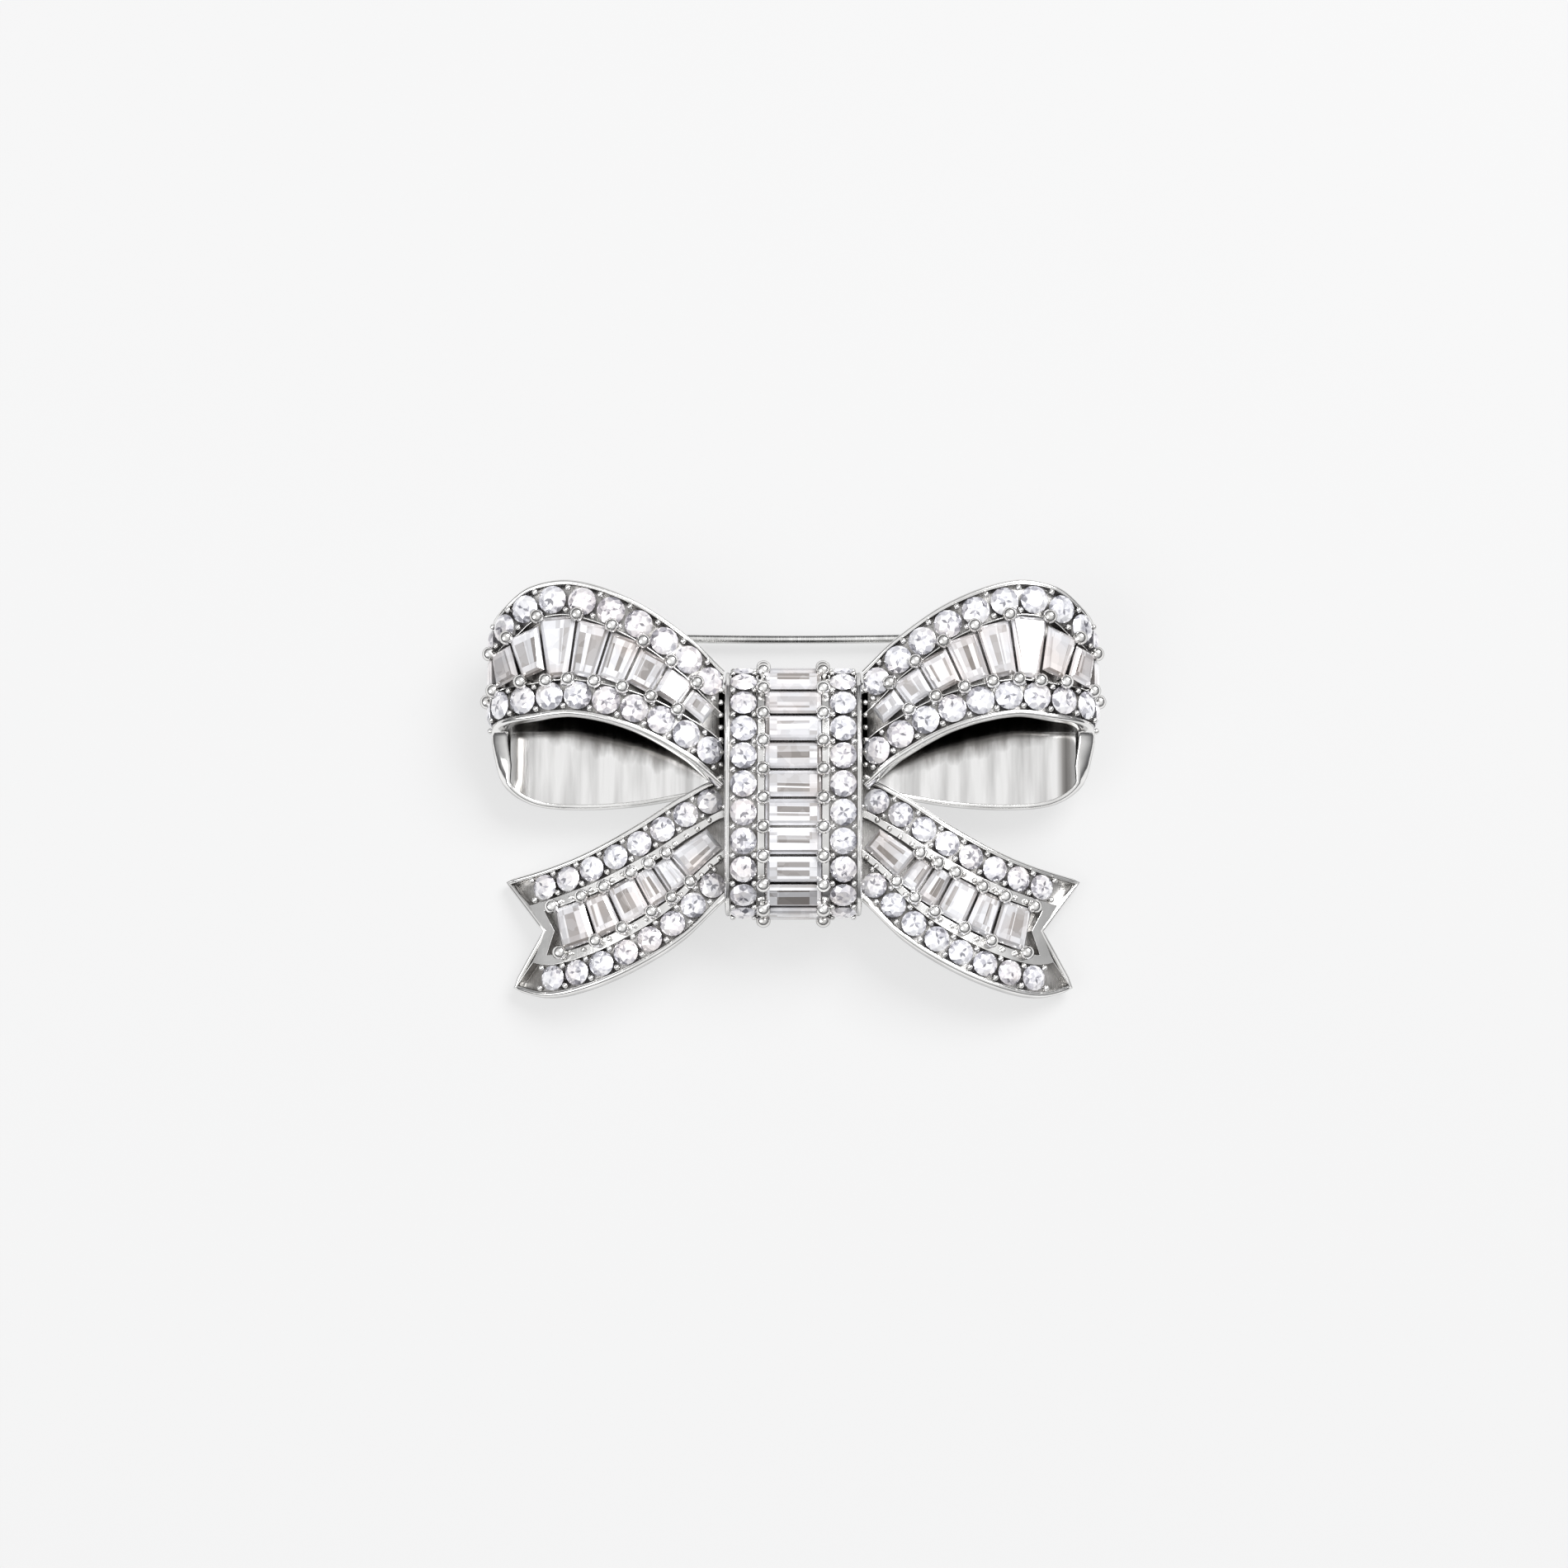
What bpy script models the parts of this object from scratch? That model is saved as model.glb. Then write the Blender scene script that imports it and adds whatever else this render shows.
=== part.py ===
"""Bow brooch set with stones: two folded ribbon loops and two tails under a curved knot band.

X runs to the right as the jewelled face is seen, Y towards the loops and Z out of that face.
The brooch lies face up on Z = 0, with the middle of its outline over the origin.
The right half is modelled, and the left half is its mirror copy, apart from the pin's findings.
"""

import math

import bmesh
import bpy
from mathutils import Matrix, Vector

MM = 0.001

# Overall sizes
OVERALL_WIDTH = 48.8 * MM
OVERALL_HEIGHT = 32.9 * MM
LOOP_CREST = 9.7 * MM            # front of the loops above the table
KNOT_CREST = 10.6 * MM
KNOT_WIDTH = 10.7 * MM
KNOT_LENGTH = 19.9 * MM
KNOT_RIM_HEIGHT = 5.0 * MM       # where the knot band ends, above the table
KNOT_CENTRE_Y = -0.35 * MM
KNOT_SQUARENESS = 2.4            # 2 is an ellipse, more is squarer

# Metal
LOOP_FRONT_THICKNESS = 1.3 * MM
LOOP_BACK_THICKNESS = 0.9 * MM
TAIL_THICKNESS = 1.3 * MM
KNOT_THICKNESS = 1.4 * MM
RIM = 0.2 * MM                   # plain metal outside the rows of round stones
SOLDER_GAP = 0.3 * MM            # left between soldered pieces

# Stones
ROUND_STONES_ON_LOOP = 10
ROUND_STONES_ON_TAIL = 8
LOOP_BAGUETTES = 9
KNOT_BAGUETTES = 9
KNOT_STONE_ROWS = 11             # the last row at each end is too steep for a baguette of its own
STONE_GAP = 0.14 * MM            # between round stones
BAGUETTE_GAP = 0.2 * MM
SEAT_CLEARANCE = 0.06 * MM
GIRDLE_RISE = 0.05 * MM
CHANNEL_WALL = 0.12 * MM         # metal between a loop's rows of stones
KNOT_BAGUETTE_LENGTH = 4.5 * MM
TAIL_BAGUETTE_FILL = 0.7         # of the room between a tail's rows of round stones
TAIL_BAGUETTE_SHARES = (3.1, 1.45, 1.45, 2.1, 1.8, 2.4)   # lengths along the row, from the knot
BAGUETTE_DEPTH = 0.8 * MM
BAGUETTE_CROWN = 0.32 * MM
BAGUETTE_BEVEL = 0.4 * MM
KEEL_SHARE = 0.42                # of a baguette's width: how far in its keel lies
CHANNEL_FLOOR_GAP = 0.16 * MM
CHANNEL_RUNOUT = 0.35 * MM       # a channel's end past its last stone

# Pin, hinge and catch
PIN_DIAMETER = 0.7 * MM
PIN_BOW = 0.3 * MM
PIN_POINT = 3.0 * MM
PIN_EDGE_INSET = 1.15 * MM       # pin's middle below the loops' back upper edge
PIN_PAST_CATCH = 2.8 * MM
HINGE_INSET = 5.4 * MM           # hinge and catch, from the loops' outer sides
CATCH_INSET = 5.9 * MM
FINDING_RADIUS = 1.15 * MM       # ears and catch ring
FINDING_PAD = 0.15 * MM          # metal above them
EYE_RADIUS = 0.85 * MM
RIVET_RADIUS = 0.27 * MM
RIVET_HEAD = 0.2 * MM
RIVET_HEAD_RADIUS = 0.5 * MM
RUNNING_CLEARANCE = 0.05 * MM
EAR_THICKNESS = 0.45 * MM
CATCH_LENGTH = 1.6 * MM
CATCH_WALL = 0.35 * MM
COLLAR_FLANGE = 0.3 * MM
COLLAR_RADIUS = 1.0 * MM
TAB_REACH = 1.9 * MM
TAB_WIDTH = 0.7 * MM

# Core behind the knot
CORE_INSET = 2.05 * MM           # from the band's sides
CORE_BACK_Z = 2.6 * MM
PLATE_THICKNESS = 0.8 * MM

# One drawn millimetre of the loops' and tails' outlines
DRAWN_X = OVERALL_WIDTH / 49.4
DRAWN_Y = OVERALL_HEIGHT / 32.9
CORE_HALF_WIDTH = KNOT_WIDTH / 2 - CORE_INSET
ROOT_X = CORE_HALF_WIDTH + SOLDER_GAP
FINDING_Z = FINDING_RADIUS
LOOP_BACK_Z = 2 * FINDING_RADIUS + FINDING_PAD + SOLDER_GAP
KNOT_INNER_HALF = KNOT_LENGTH / 2 - KNOT_THICKNESS
HINGE_X = HINGE_INSET - OVERALL_WIDTH / 2
CATCH_X = OVERALL_WIDTH / 2 - CATCH_INSET
PIN_TIP_X = CATCH_X + PIN_PAST_CATCH
PIN_Y = 14.65 * DRAWN_Y - PIN_EDGE_INSET
SHOULDER_X = KNOT_WIDTH / 2 + SOLDER_GAP

# A loop from the knot out, round its bend and back: x, rise from back (0) to crest (1), low and high edges
LOOP_OUTLINE = (
    (5.65, 0.72, 0.10, 9.25),
    (8.50, 0.87, 2.20, 11.75),
    (13.0, 1.00, 4.45, 14.60),
    (18.0, 0.98, 5.65, 16.30),
    (21.6, 0.85, 5.45, 16.00),
    (23.9, 0.65, 5.25, 14.50),
    (24.8, 0.42, 4.75, 13.60),
    (24.6, 0.20, 2.70, 13.30),
    (23.9, 0.08, 0.75, 13.40),
    (21.6, 0.02, -0.70, 13.95),
    (18.0, 0.00, -1.10, 14.65),
    (13.0, 0.00, -0.85, 12.95),
    (8.50, 0.05, -0.15, 10.05),
    (3.60, 0.145, 0.55, 7.05),
)
LOOP_FRONT_SHARE = 0.51          # of the loop's length: how far the stones reach
LOOP_THIN_SHARE = 0.60           # where the metal is down to the back's thickness

# A tail from the knot out: x, top surface from tip (0) to root (1), low and high edges
TAIL_OUTLINE = (
    (3.60, 0.97, -7.00, -0.45),
    (5.65, 0.98, -8.80, 0.60),
    (9.00, 1.00, -12.0, -0.80),
    (13.0, 0.88, -14.4, -3.20),
    (17.0, 0.66, -15.95, -5.20),
    (20.5, 0.34, -16.45, -6.35),
    (23.7, 0.00, -15.50, -7.05),
)
TAIL_ROOT_RISE = 4.9 * MM        # the root's top above the tip's top
NOTCH_DEPTH = 3.6 * DRAWN_X      # of the swallowtail end
NOTCH_PLACE = 0.5                # across the tail, from the low edge
NOTCH_RIM = 1.3 * DRAWN_X        # plain metal behind the notch
TIP_RIM = 2.5 * DRAWN_X          # plain metal of the two tips
LOW_TIP_SETBACK = 0.8 * DRAWN_X

SPLINE_STEPS = 10
LOOP_FRONT_SECTIONS = 32
LOOP_BACK_SECTIONS = 12
TAIL_SECTIONS = 18
KNOT_SECTIONS = 26
CIRCLE_SIDES = 16


def spline(points, steps):
    """Points along a smooth curve through the given ones, with tangents across each one's neighbours."""
    curve = []
    last = len(points) - 1
    for index in range(last):
        start = Vector(points[index])
        end = Vector(points[index + 1])
        before = Vector(points[max(index - 1, 0)])
        after = Vector(points[min(index + 2, last)])
        span = (end - start).length
        start_slope = (end - before) * (span / (span + (start - before).length))
        end_slope = (after - start) * (span / (span + (after - end).length))
        for step in range(steps):
            curve.append(hermite(start, end, start_slope, end_slope, step / steps))
    curve.append(Vector(points[last]))
    return curve


def hermite(start, end, start_slope, end_slope, t):
    """The point at share t of a cubic with the given ends and end slopes."""
    rise = t * t * (3 - 2 * t)
    return (
        start * (1 - rise)
        + end * rise
        + start_slope * (t * (1 - t) * (1 - t))
        - end_slope * (t * t * (1 - t))
    )


class Ribbon:
    """A strip bent along a side profile: s is the length along the profile, v the place across it."""

    def __init__(self, rows, across, along):
        self.rows = rows
        self.across = across
        self.along = along
        self.lengths = [0.0]
        for before, after in zip(rows, rows[1:]):
            self.lengths.append(self.lengths[-1] + math.dist(before[:2], after[:2]))
        self.length = self.lengths[-1]

    def at(self, s):
        """Profile place, height, low edge and high edge at s."""
        index = 1
        while index < len(self.rows) - 1 and self.lengths[index] < s:
            index += 1
        start = self.lengths[index - 1]
        share = (s - start) / (self.lengths[index] - start)
        return self.rows[index - 1].lerp(self.rows[index], share)

    def normal(self, s):
        """The way out of the front surface at s."""
        step = self.length / 400
        ahead = self.at(s + step) - self.at(s - step)
        tangent = (self.along * ahead[0] + Vector((0, 0, ahead[1]))).normalized()
        return tangent.cross(self.across).normalized()

    def point(self, s, v, rise=0.0):
        """The point at s and v, that far out of the front surface."""
        place = self.at(s)
        flat = self.along * place[0] + self.across * v + Vector((0, 0, place[1]))
        return flat + self.normal(s) * rise


class Row:
    """A line of stones on a ribbon, measured by its own length."""

    def __init__(self, ribbon, start, end, line, samples=80):
        self.start = start
        self.end = end
        self.points = []
        self.normals = []
        for index in range(samples + 1):
            s = start + (end - start) * index / samples
            self.points.append(ribbon.point(s, line(s)))
            self.normals.append(ribbon.normal(s))
        self.lengths = [0.0]
        for before, after in zip(self.points, self.points[1:]):
            self.lengths.append(self.lengths[-1] + (after - before).length)
        self.length = self.lengths[-1]

    def find(self, distance):
        """The sample after a distance, and how far the distance lies into the step before it."""
        index = 1
        while index < len(self.points) - 1 and self.lengths[index] < distance:
            index += 1
        start = self.lengths[index - 1]
        return index, (distance - start) / (self.lengths[index] - start)

    def reach(self, distance):
        """The length along the ribbon's profile at a distance along the row."""
        index, share = self.find(distance)
        return self.start + (self.end - self.start) * (index - 1 + share) / (len(self.points) - 1)

    def frame(self, distance):
        """Place and axes at a distance: X along the row, Y across it, Z out of the metal."""
        index, share = self.find(distance)
        place = self.points[index - 1].lerp(self.points[index], share)
        normal = self.normals[index - 1].lerp(self.normals[index], share).normalized()
        first = max(index - 3, 0)
        last = min(index + 2, len(self.points) - 1)
        along = self.points[last] - self.points[first]
        along = (along - normal * along.dot(normal)).normalized()
        axes = Matrix((along, normal.cross(along), normal)).transposed()
        return Matrix.Translation(place) @ axes.to_4x4()


def loop_ribbon():
    """The right loop's strip, from the knot's side out, round the bend and back to the core."""
    rows = []
    for x, rise, low, high in LOOP_OUTLINE:
        height = LOOP_BACK_Z + rise * (LOOP_CREST - LOOP_BACK_Z)
        rows.append([x * DRAWN_X, height, low * DRAWN_Y, high * DRAWN_Y])
    rows[0][0] = SHOULDER_X
    rows[-1][0] = ROOT_X
    return Ribbon(spline(rows, SPLINE_STEPS), Vector((0, 1, 0)), Vector((1, 0, 0)))


def tail_ribbon():
    """The right tail's strip, from the core out, with its tip lying on Z = 0."""
    rows = []
    for x, rise, low, high in TAIL_OUTLINE:
        rows.append([x * DRAWN_X, rise * TAIL_ROOT_RISE, low * DRAWN_Y, high * DRAWN_Y])
    rows[0][0] = ROOT_X
    rows[0][2] = KNOT_CENTRE_Y - 0.78 * KNOT_INNER_HALF
    rows[1][0] = SHOULDER_X
    rows[1][2] = KNOT_CENTRE_Y - KNOT_INNER_HALF
    ribbon = Ribbon(spline(rows, SPLINE_STEPS), Vector((0, 1, 0)), Vector((1, 0, 0)))
    underside = ribbon.point(ribbon.length, 0, -TAIL_THICKNESS).z
    for row in ribbon.rows:
        row[1] -= underside
    return ribbon


def knot_ribbon():
    """The knot band's strip, bent over a squared half ellipse from the top end to the bottom end."""
    rows = []
    count = 60
    for index in range(count + 1):
        angle = math.pi * index / count
        reach = math.copysign(abs(math.cos(angle)) ** (2 / KNOT_SQUARENESS), math.cos(angle))
        rise = abs(math.sin(angle)) ** (2 / KNOT_SQUARENESS)
        y = KNOT_CENTRE_Y + reach * KNOT_LENGTH / 2
        z = KNOT_RIM_HEIGHT + rise * (KNOT_CREST - KNOT_RIM_HEIGHT)
        rows.append(Vector((y, z, -KNOT_WIDTH / 2, KNOT_WIDTH / 2)))
    return Ribbon(rows, Vector((1, 0, 0)), Vector((0, 1, 0)))


def new_object(name, vertices, faces, material, origin=None):
    """One closed piece with its faces pointing out, its own origin and its own material."""
    placed = origin or Matrix.Identity(4)
    back = placed.inverted()
    mesh = bpy.data.meshes.new(name)
    mesh.from_pydata([back @ Vector(vertex) for vertex in vertices], [], faces)
    solid = bmesh.new()
    solid.from_mesh(mesh)
    unused = [vertex for vertex in solid.verts if not vertex.link_faces]
    bmesh.ops.delete(solid, geom=unused, context="VERTS")
    bmesh.ops.remove_doubles(solid, verts=solid.verts, dist=1e-7)
    bmesh.ops.recalc_face_normals(solid, faces=solid.faces)
    bmesh.ops.triangulate(solid, faces=solid.faces)
    solid.to_mesh(mesh)
    solid.free()
    piece = bpy.data.objects.new(name, mesh)
    piece.matrix_world = placed
    bpy.context.scene.collection.objects.link(piece)
    if material:
        mesh.materials.append(material)
    return piece


def swept(name, rings, material, origin=None):
    """A body through rings of the same number of points, closed by its first and last ring."""
    count = len(rings[0])
    vertices = [point for ring in rings for point in ring]
    faces = [tuple(range(count)), tuple(range(len(vertices) - 1, len(vertices) - count - 1, -1))]
    for ring in range(len(rings) - 1):
        for side in range(count):
            start = ring * count + side
            beside = ring * count + (side + 1) % count
            faces.append((start, beside, beside + count, start + count))
    return new_object(name, vertices, faces, material, origin)


def combine(piece, tool, operation):
    """Cut a piece with a hidden tool, or join the tool to it."""
    tool.hide_render = True
    tool.display_type = "WIRE"
    change = piece.modifiers.new(tool.name, "BOOLEAN")
    change.operation = operation
    change.solver = "EXACT"
    change.object = tool


def smooth_round(piece):
    """Shade the curved faces smooth and keep the corners sharp."""
    piece.data.shade_smooth()
    piece.data.set_sharp_from_angle(angle=math.radians(35))


def channelled(name, ribbon, lines, shares, channels, thickness, material):
    """A strip with stone channels in its front, closed all round.

    lines are (reach, place) pairs from the low edge to the high one: how far along the ribbon each
    goes, and its place across it. shares are the sections, from 0 to 1 of each line's reach.
    channels are (first line, last line, first section, last section, depth).
    """
    vertices = []
    numbers = {}

    def add(layer, line, section, rise):
        reach, place = lines[line]
        s = reach * shares[section]
        numbers[layer, line, section] = len(vertices)
        vertices.append(ribbon.point(s, place(s), rise(s)))

    for section in range(len(shares)):
        for line in range(len(lines)):
            add("front", line, section, lambda s: 0.0)
            add("back", line, section, lambda s: -thickness(s))
    for first, last, start, end, depth in channels:
        for section in range(start, end + 1):
            for line in range(first, last + 1):
                add("floor", line, section, lambda s: -depth)

    def sunk(cell, step):
        return any(first <= cell < last and start <= step < end
                   for first, last, start, end, _ in channels)

    faces = [[numbers[corner] for corner in face] for face in strip_faces(len(lines), len(shares), sunk)]
    return new_object(name, vertices, faces, material)


def strip_faces(lines, sections, sunk):
    """Corners of every face of a channelled strip; sunk says which cells lie in a channel."""
    faces = []
    for step in range(sections - 1):
        for cell in range(lines - 1):
            surface = "floor" if sunk(cell, step) else "front"
            for layer in (surface, "back"):
                faces.append([(layer, cell, step), (layer, cell + 1, step),
                              (layer, cell + 1, step + 1), (layer, cell, step + 1)])
        for line in range(lines):
            edge = line in (0, lines - 1)
            if edge or sunk(line - 1, step) != sunk(line, step):
                below = "back" if edge else "floor"
                faces.append([("front", line, step), ("front", line, step + 1),
                              (below, line, step + 1), (below, line, step)])
    for section in range(1, sections - 1):
        for cell in range(lines - 1):
            if sunk(cell, section - 1) != sunk(cell, section):
                faces.append([("front", cell, section), ("front", cell + 1, section),
                              ("floor", cell + 1, section), ("floor", cell, section)])
    for section, step in ((0, 0), (sections - 1, sections - 2)):
        faces += [end_face(cell, section, step, sunk) for cell in range(lines - 1)]
    return faces


def end_face(cell, section, step, sunk):
    """Corners of one cell of an end face, which meets the floors of the channels beside it."""
    if sunk(cell, step):
        top = [("floor", cell, section), ("floor", cell + 1, section)]
    else:
        top = [("front", cell, section), ("front", cell + 1, section)]
        if sunk(cell - 1, step):
            top.insert(0, ("floor", cell, section))
        if sunk(cell + 1, step):
            top.append(("floor", cell + 1, section))
    return top + [("back", cell + 1, section), ("back", cell, section)]


def beside(ribbon, line, half, sign):
    """The line that runs half a channel's width to one side of a row, square to it."""
    def place(s):
        step = ribbon.length / 120
        slope = (line(s + step) - line(s - step)) / (2 * step)
        return line(s) + sign * half(s) * math.hypot(1, slope)

    return place


def room_between(ribbon, low, high, half):
    """The middle line between two rows of round stones, and the clear width there, square to it."""
    low_side = beside(ribbon, low, fixed(half + CHANNEL_WALL), 1)
    high_side = beside(ribbon, high, fixed(half + CHANNEL_WALL), -1)

    def middle(s):
        return (low_side(s) + high_side(s)) / 2

    def room(s):
        step = ribbon.length / 120
        slope = (middle(s + step) - middle(s - step)) / (2 * step)
        return (high_side(s) - low_side(s)) / math.hypot(1, slope)

    return middle, room


def fixed(value):
    """A size that is the same all along."""
    return lambda s: value


def held(ribbon, place, start, end):
    """The line between start and end, and its share of the strip's width before and after."""
    def kept(s):
        nearest = max(start, min(end, s))
        low, high = ribbon.at(nearest)[2:]
        share = (place(nearest) - low) / (high - low)
        low, high = ribbon.at(s)[2:]
        return low + share * (high - low)

    return kept


def channel_lines(ribbon, rows, start, end):
    """Both sides of each row's channel, from the low edge of the strip to the high one."""
    places = [lambda s: ribbon.at(s)[2]]
    for line, half in rows:
        for sign in (-1, 1):
            places.append(held(ribbon, beside(ribbon, line, half, sign), start, end))
    places.append(lambda s: ribbon.at(s)[3])
    return places


def round_row(name, row, count, diameter, material):
    """A row of round brilliants, joined below their girdles by webs between facing facets."""
    sides = 8
    vertices = []
    faces = []
    pitch = row.length / count
    for stone in range(count):
        frame = row.frame(pitch * (stone + 0.5))
        base = len(vertices)
        for radius, rise in ((0.29 * diameter, 0.15 * diameter), (diameter / 2, 0.0)):
            for side in range(sides):
                angle = math.tau * (side + 0.5) / sides
                spot = (radius * math.cos(angle), radius * math.sin(angle), rise + GIRDLE_RISE)
                vertices.append(frame @ Vector(spot))
        vertices.append(frame @ Vector((0, 0, GIRDLE_RISE - 0.42 * diameter)))
        culet = base + 2 * sides
        faces.append(tuple(range(base, base + sides)))
        for side in range(sides):
            table = base + side
            beside = base + (side + 1) % sides
            faces.append((table, beside, beside + sides, table + sides))
            faces_next = side == sides - 1 and stone < count - 1
            faces_back = side == sides // 2 - 1 and stone > 0
            if not faces_next and not faces_back:
                faces.append((table + sides, beside + sides, culet))
        if stone:
            faces += web(base - 2 * sides - 1, base, sides)
    return new_object(name, vertices, faces, material, row.frame(pitch / 2))


def web(before, after, sides):
    """The three faces that join a stone's outward facet to the next stone's facing one."""
    low_before = before + 2 * sides - 1
    high_before = before + sides
    high_after = after + sides + sides // 2 - 1
    low_after = after + sides + sides // 2
    culet_before = before + 2 * sides
    culet_after = after + 2 * sides
    return [
        (low_before, high_before, high_after, low_after),
        (high_before, culet_before, culet_after, high_after),
        (low_before, low_after, culet_after, culet_before),
    ]


def baguette(name, frame, length, low, high, material):
    """A step-cut stone: table, sloping crown, girdle and a keel below.

    low and high are where its two sides lie at its low end and at its high end.
    """
    least = min(low[1] - low[0], high[1] - high[0], length)
    levels = (
        (min(BAGUETTE_BEVEL, KEEL_SHARE * least), BAGUETTE_CROWN),
        (0.0, 0.0),
        (KEEL_SHARE * least, -BAGUETTE_DEPTH),
    )
    rings = []
    for inset, rise in levels:
        end = length / 2 - inset
        ring = (
            (low[0] + inset, -end), (low[1] - inset, -end),
            (high[1] - inset, end), (high[0] + inset, end),
        )
        rings.append([frame @ Vector((x, y, rise + GIRDLE_RISE)) for x, y in ring])
    return swept(name, rings, material, frame)


def sides_between(row, start, end, length):
    """Where a stone's sides lie at its low and high ends, square to the row where it starts and ends."""
    back = row.frame((start + end) / 2).inverted()
    ends = ([], [])
    for edge, gap in ((start, BAGUETTE_GAP / 2), (end, -BAGUETTE_GAP / 2)):
        cut = back @ row.frame(edge)
        origin = cut.col[3]
        across = cut.col[1]
        for side, y in zip(ends, (-length / 2, length / 2)):
            side.append(origin.x + across.x * (y - origin.y) / across.y + gap)
    return ends


def edge_line(ribbon, edge, inset):
    """The line that keeps a distance inside the low (2) or high (3) edge, square to that edge."""
    sign = 1 if edge == 2 else -1

    def line(s):
        step = ribbon.length / 200
        slope = (ribbon.at(s + step)[edge] - ribbon.at(s - step)[edge]) / (2 * step)
        return ribbon.at(s)[edge] + sign * inset * math.hypot(1, slope)

    return line


def round_diameter(ribbon, start, ends, count):
    """The round stones' diameter that fits the shorter edge of a strand."""
    edges = [Row(ribbon, start, end, edge_line(ribbon, edge, 0)) for edge, end in zip((2, 3), ends)]
    return min(edge.length for edge in edges) / count - STONE_GAP


def round_inset(diameter):
    """A row's middle, in from the edge of its strand."""
    return RIM + SEAT_CLEARANCE + diameter / 2


def loop_thickness(ribbon):
    """The loop's metal: thick under the stones, thinner from the bend back."""
    def thickness(s):
        share = (s / ribbon.length - LOOP_FRONT_SHARE) / (LOOP_THIN_SHARE - LOOP_FRONT_SHARE)
        share = max(0.0, min(1.0, share))
        return LOOP_FRONT_THICKNESS + share * (LOOP_BACK_THICKNESS - LOOP_FRONT_THICKNESS)

    return thickness


def round_channel_depth(diameter):
    """Deep enough for a round stone's pavilion."""
    return 0.42 * diameter - GIRDLE_RISE + CHANNEL_FLOOR_GAP


def baguette_channel_depth():
    """Deep enough for a baguette's keel."""
    return BAGUETTE_DEPTH - GIRDLE_RISE + CHANNEL_FLOOR_GAP


def right_loop(silver, clear):
    """The right loop's casting, its two rows of round stones and its baguettes."""
    ribbon = loop_ribbon()
    start = SEAT_CLEARANCE + RIM
    end = ribbon.length * LOOP_FRONT_SHARE
    count = ROUND_STONES_ON_LOOP
    diameter = round_diameter(ribbon, start, (end, end), count)
    low = edge_line(ribbon, 2, round_inset(diameter))
    high = edge_line(ribbon, 3, round_inset(diameter))
    half = diameter / 2 + SEAT_CLEARANCE
    middle, room = room_between(ribbon, low, high, half)
    rows = ((low, fixed(half)), (middle, lambda s: room(s) / 2), (high, fixed(half)))
    places = channel_lines(ribbon, rows, 0.0, end + CHANNEL_RUNOUT)
    last = (end + CHANNEL_RUNOUT) / ribbon.length
    shares = [last * step / LOOP_FRONT_SECTIONS for step in range(LOOP_FRONT_SECTIONS)]
    shares += [last + (1 - last) * step / LOOP_BACK_SECTIONS for step in range(LOOP_BACK_SECTIONS + 1)]
    round_depth = round_channel_depth(diameter)
    channels = (
        (1, 2, 0, LOOP_FRONT_SECTIONS, round_depth),
        (3, 4, 0, LOOP_FRONT_SECTIONS, baguette_channel_depth()),
        (5, 6, 0, LOOP_FRONT_SECTIONS, round_depth),
    )
    lines = [(ribbon.length, place) for place in places]
    thickness = loop_thickness(ribbon)
    pieces = [channelled("right_loop", ribbon, lines, shares, channels, thickness, silver)]
    for label, line in (("low", low), ("high", high)):
        row = Row(ribbon, start, end, line)
        pieces.append(round_row("right_loop_rounds_" + label, row, count, diameter, clear))
    pieces += loop_baguettes(Row(ribbon, start, end, middle), room, clear)
    return pieces


def baguette_size(row, room, start, end):
    """How long a stone may be across the strand, from the least room along its own width."""
    places = [start + (end - start) * step / 4 for step in range(5)]
    return min(room(row.reach(place)) for place in places) - 2 * SEAT_CLEARANCE


def loop_baguettes(row, room, clear):
    """The loop's baguettes, which fill the room between the rows of round stones."""
    first = 0.05 * row.length
    pitch = (row.length - first) / LOOP_BAGUETTES
    pieces = []
    for index in range(LOOP_BAGUETTES):
        start = first + pitch * index
        size = baguette_size(row, room, start, start + pitch)
        low, high = sides_between(row, start, start + pitch, size)
        name = "right_loop_baguette_%d" % (index + 1)
        pieces.append(baguette(name, row.frame(start + pitch / 2), size, low, high, clear))
    return pieces


def tip_reach(ribbon, place):
    """How far a line goes before the swallowtail end, from its place across the tip."""
    low, high = ribbon.rows[-1][2:]
    share = max(0.0, min(1.0, (place - low) / (high - low)))
    if share < NOTCH_PLACE:
        depth = LOW_TIP_SETBACK + (NOTCH_DEPTH - LOW_TIP_SETBACK) * share / NOTCH_PLACE
    else:
        depth = NOTCH_DEPTH * (1 - share) / (1 - NOTCH_PLACE)
    return ribbon.length - depth


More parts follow.
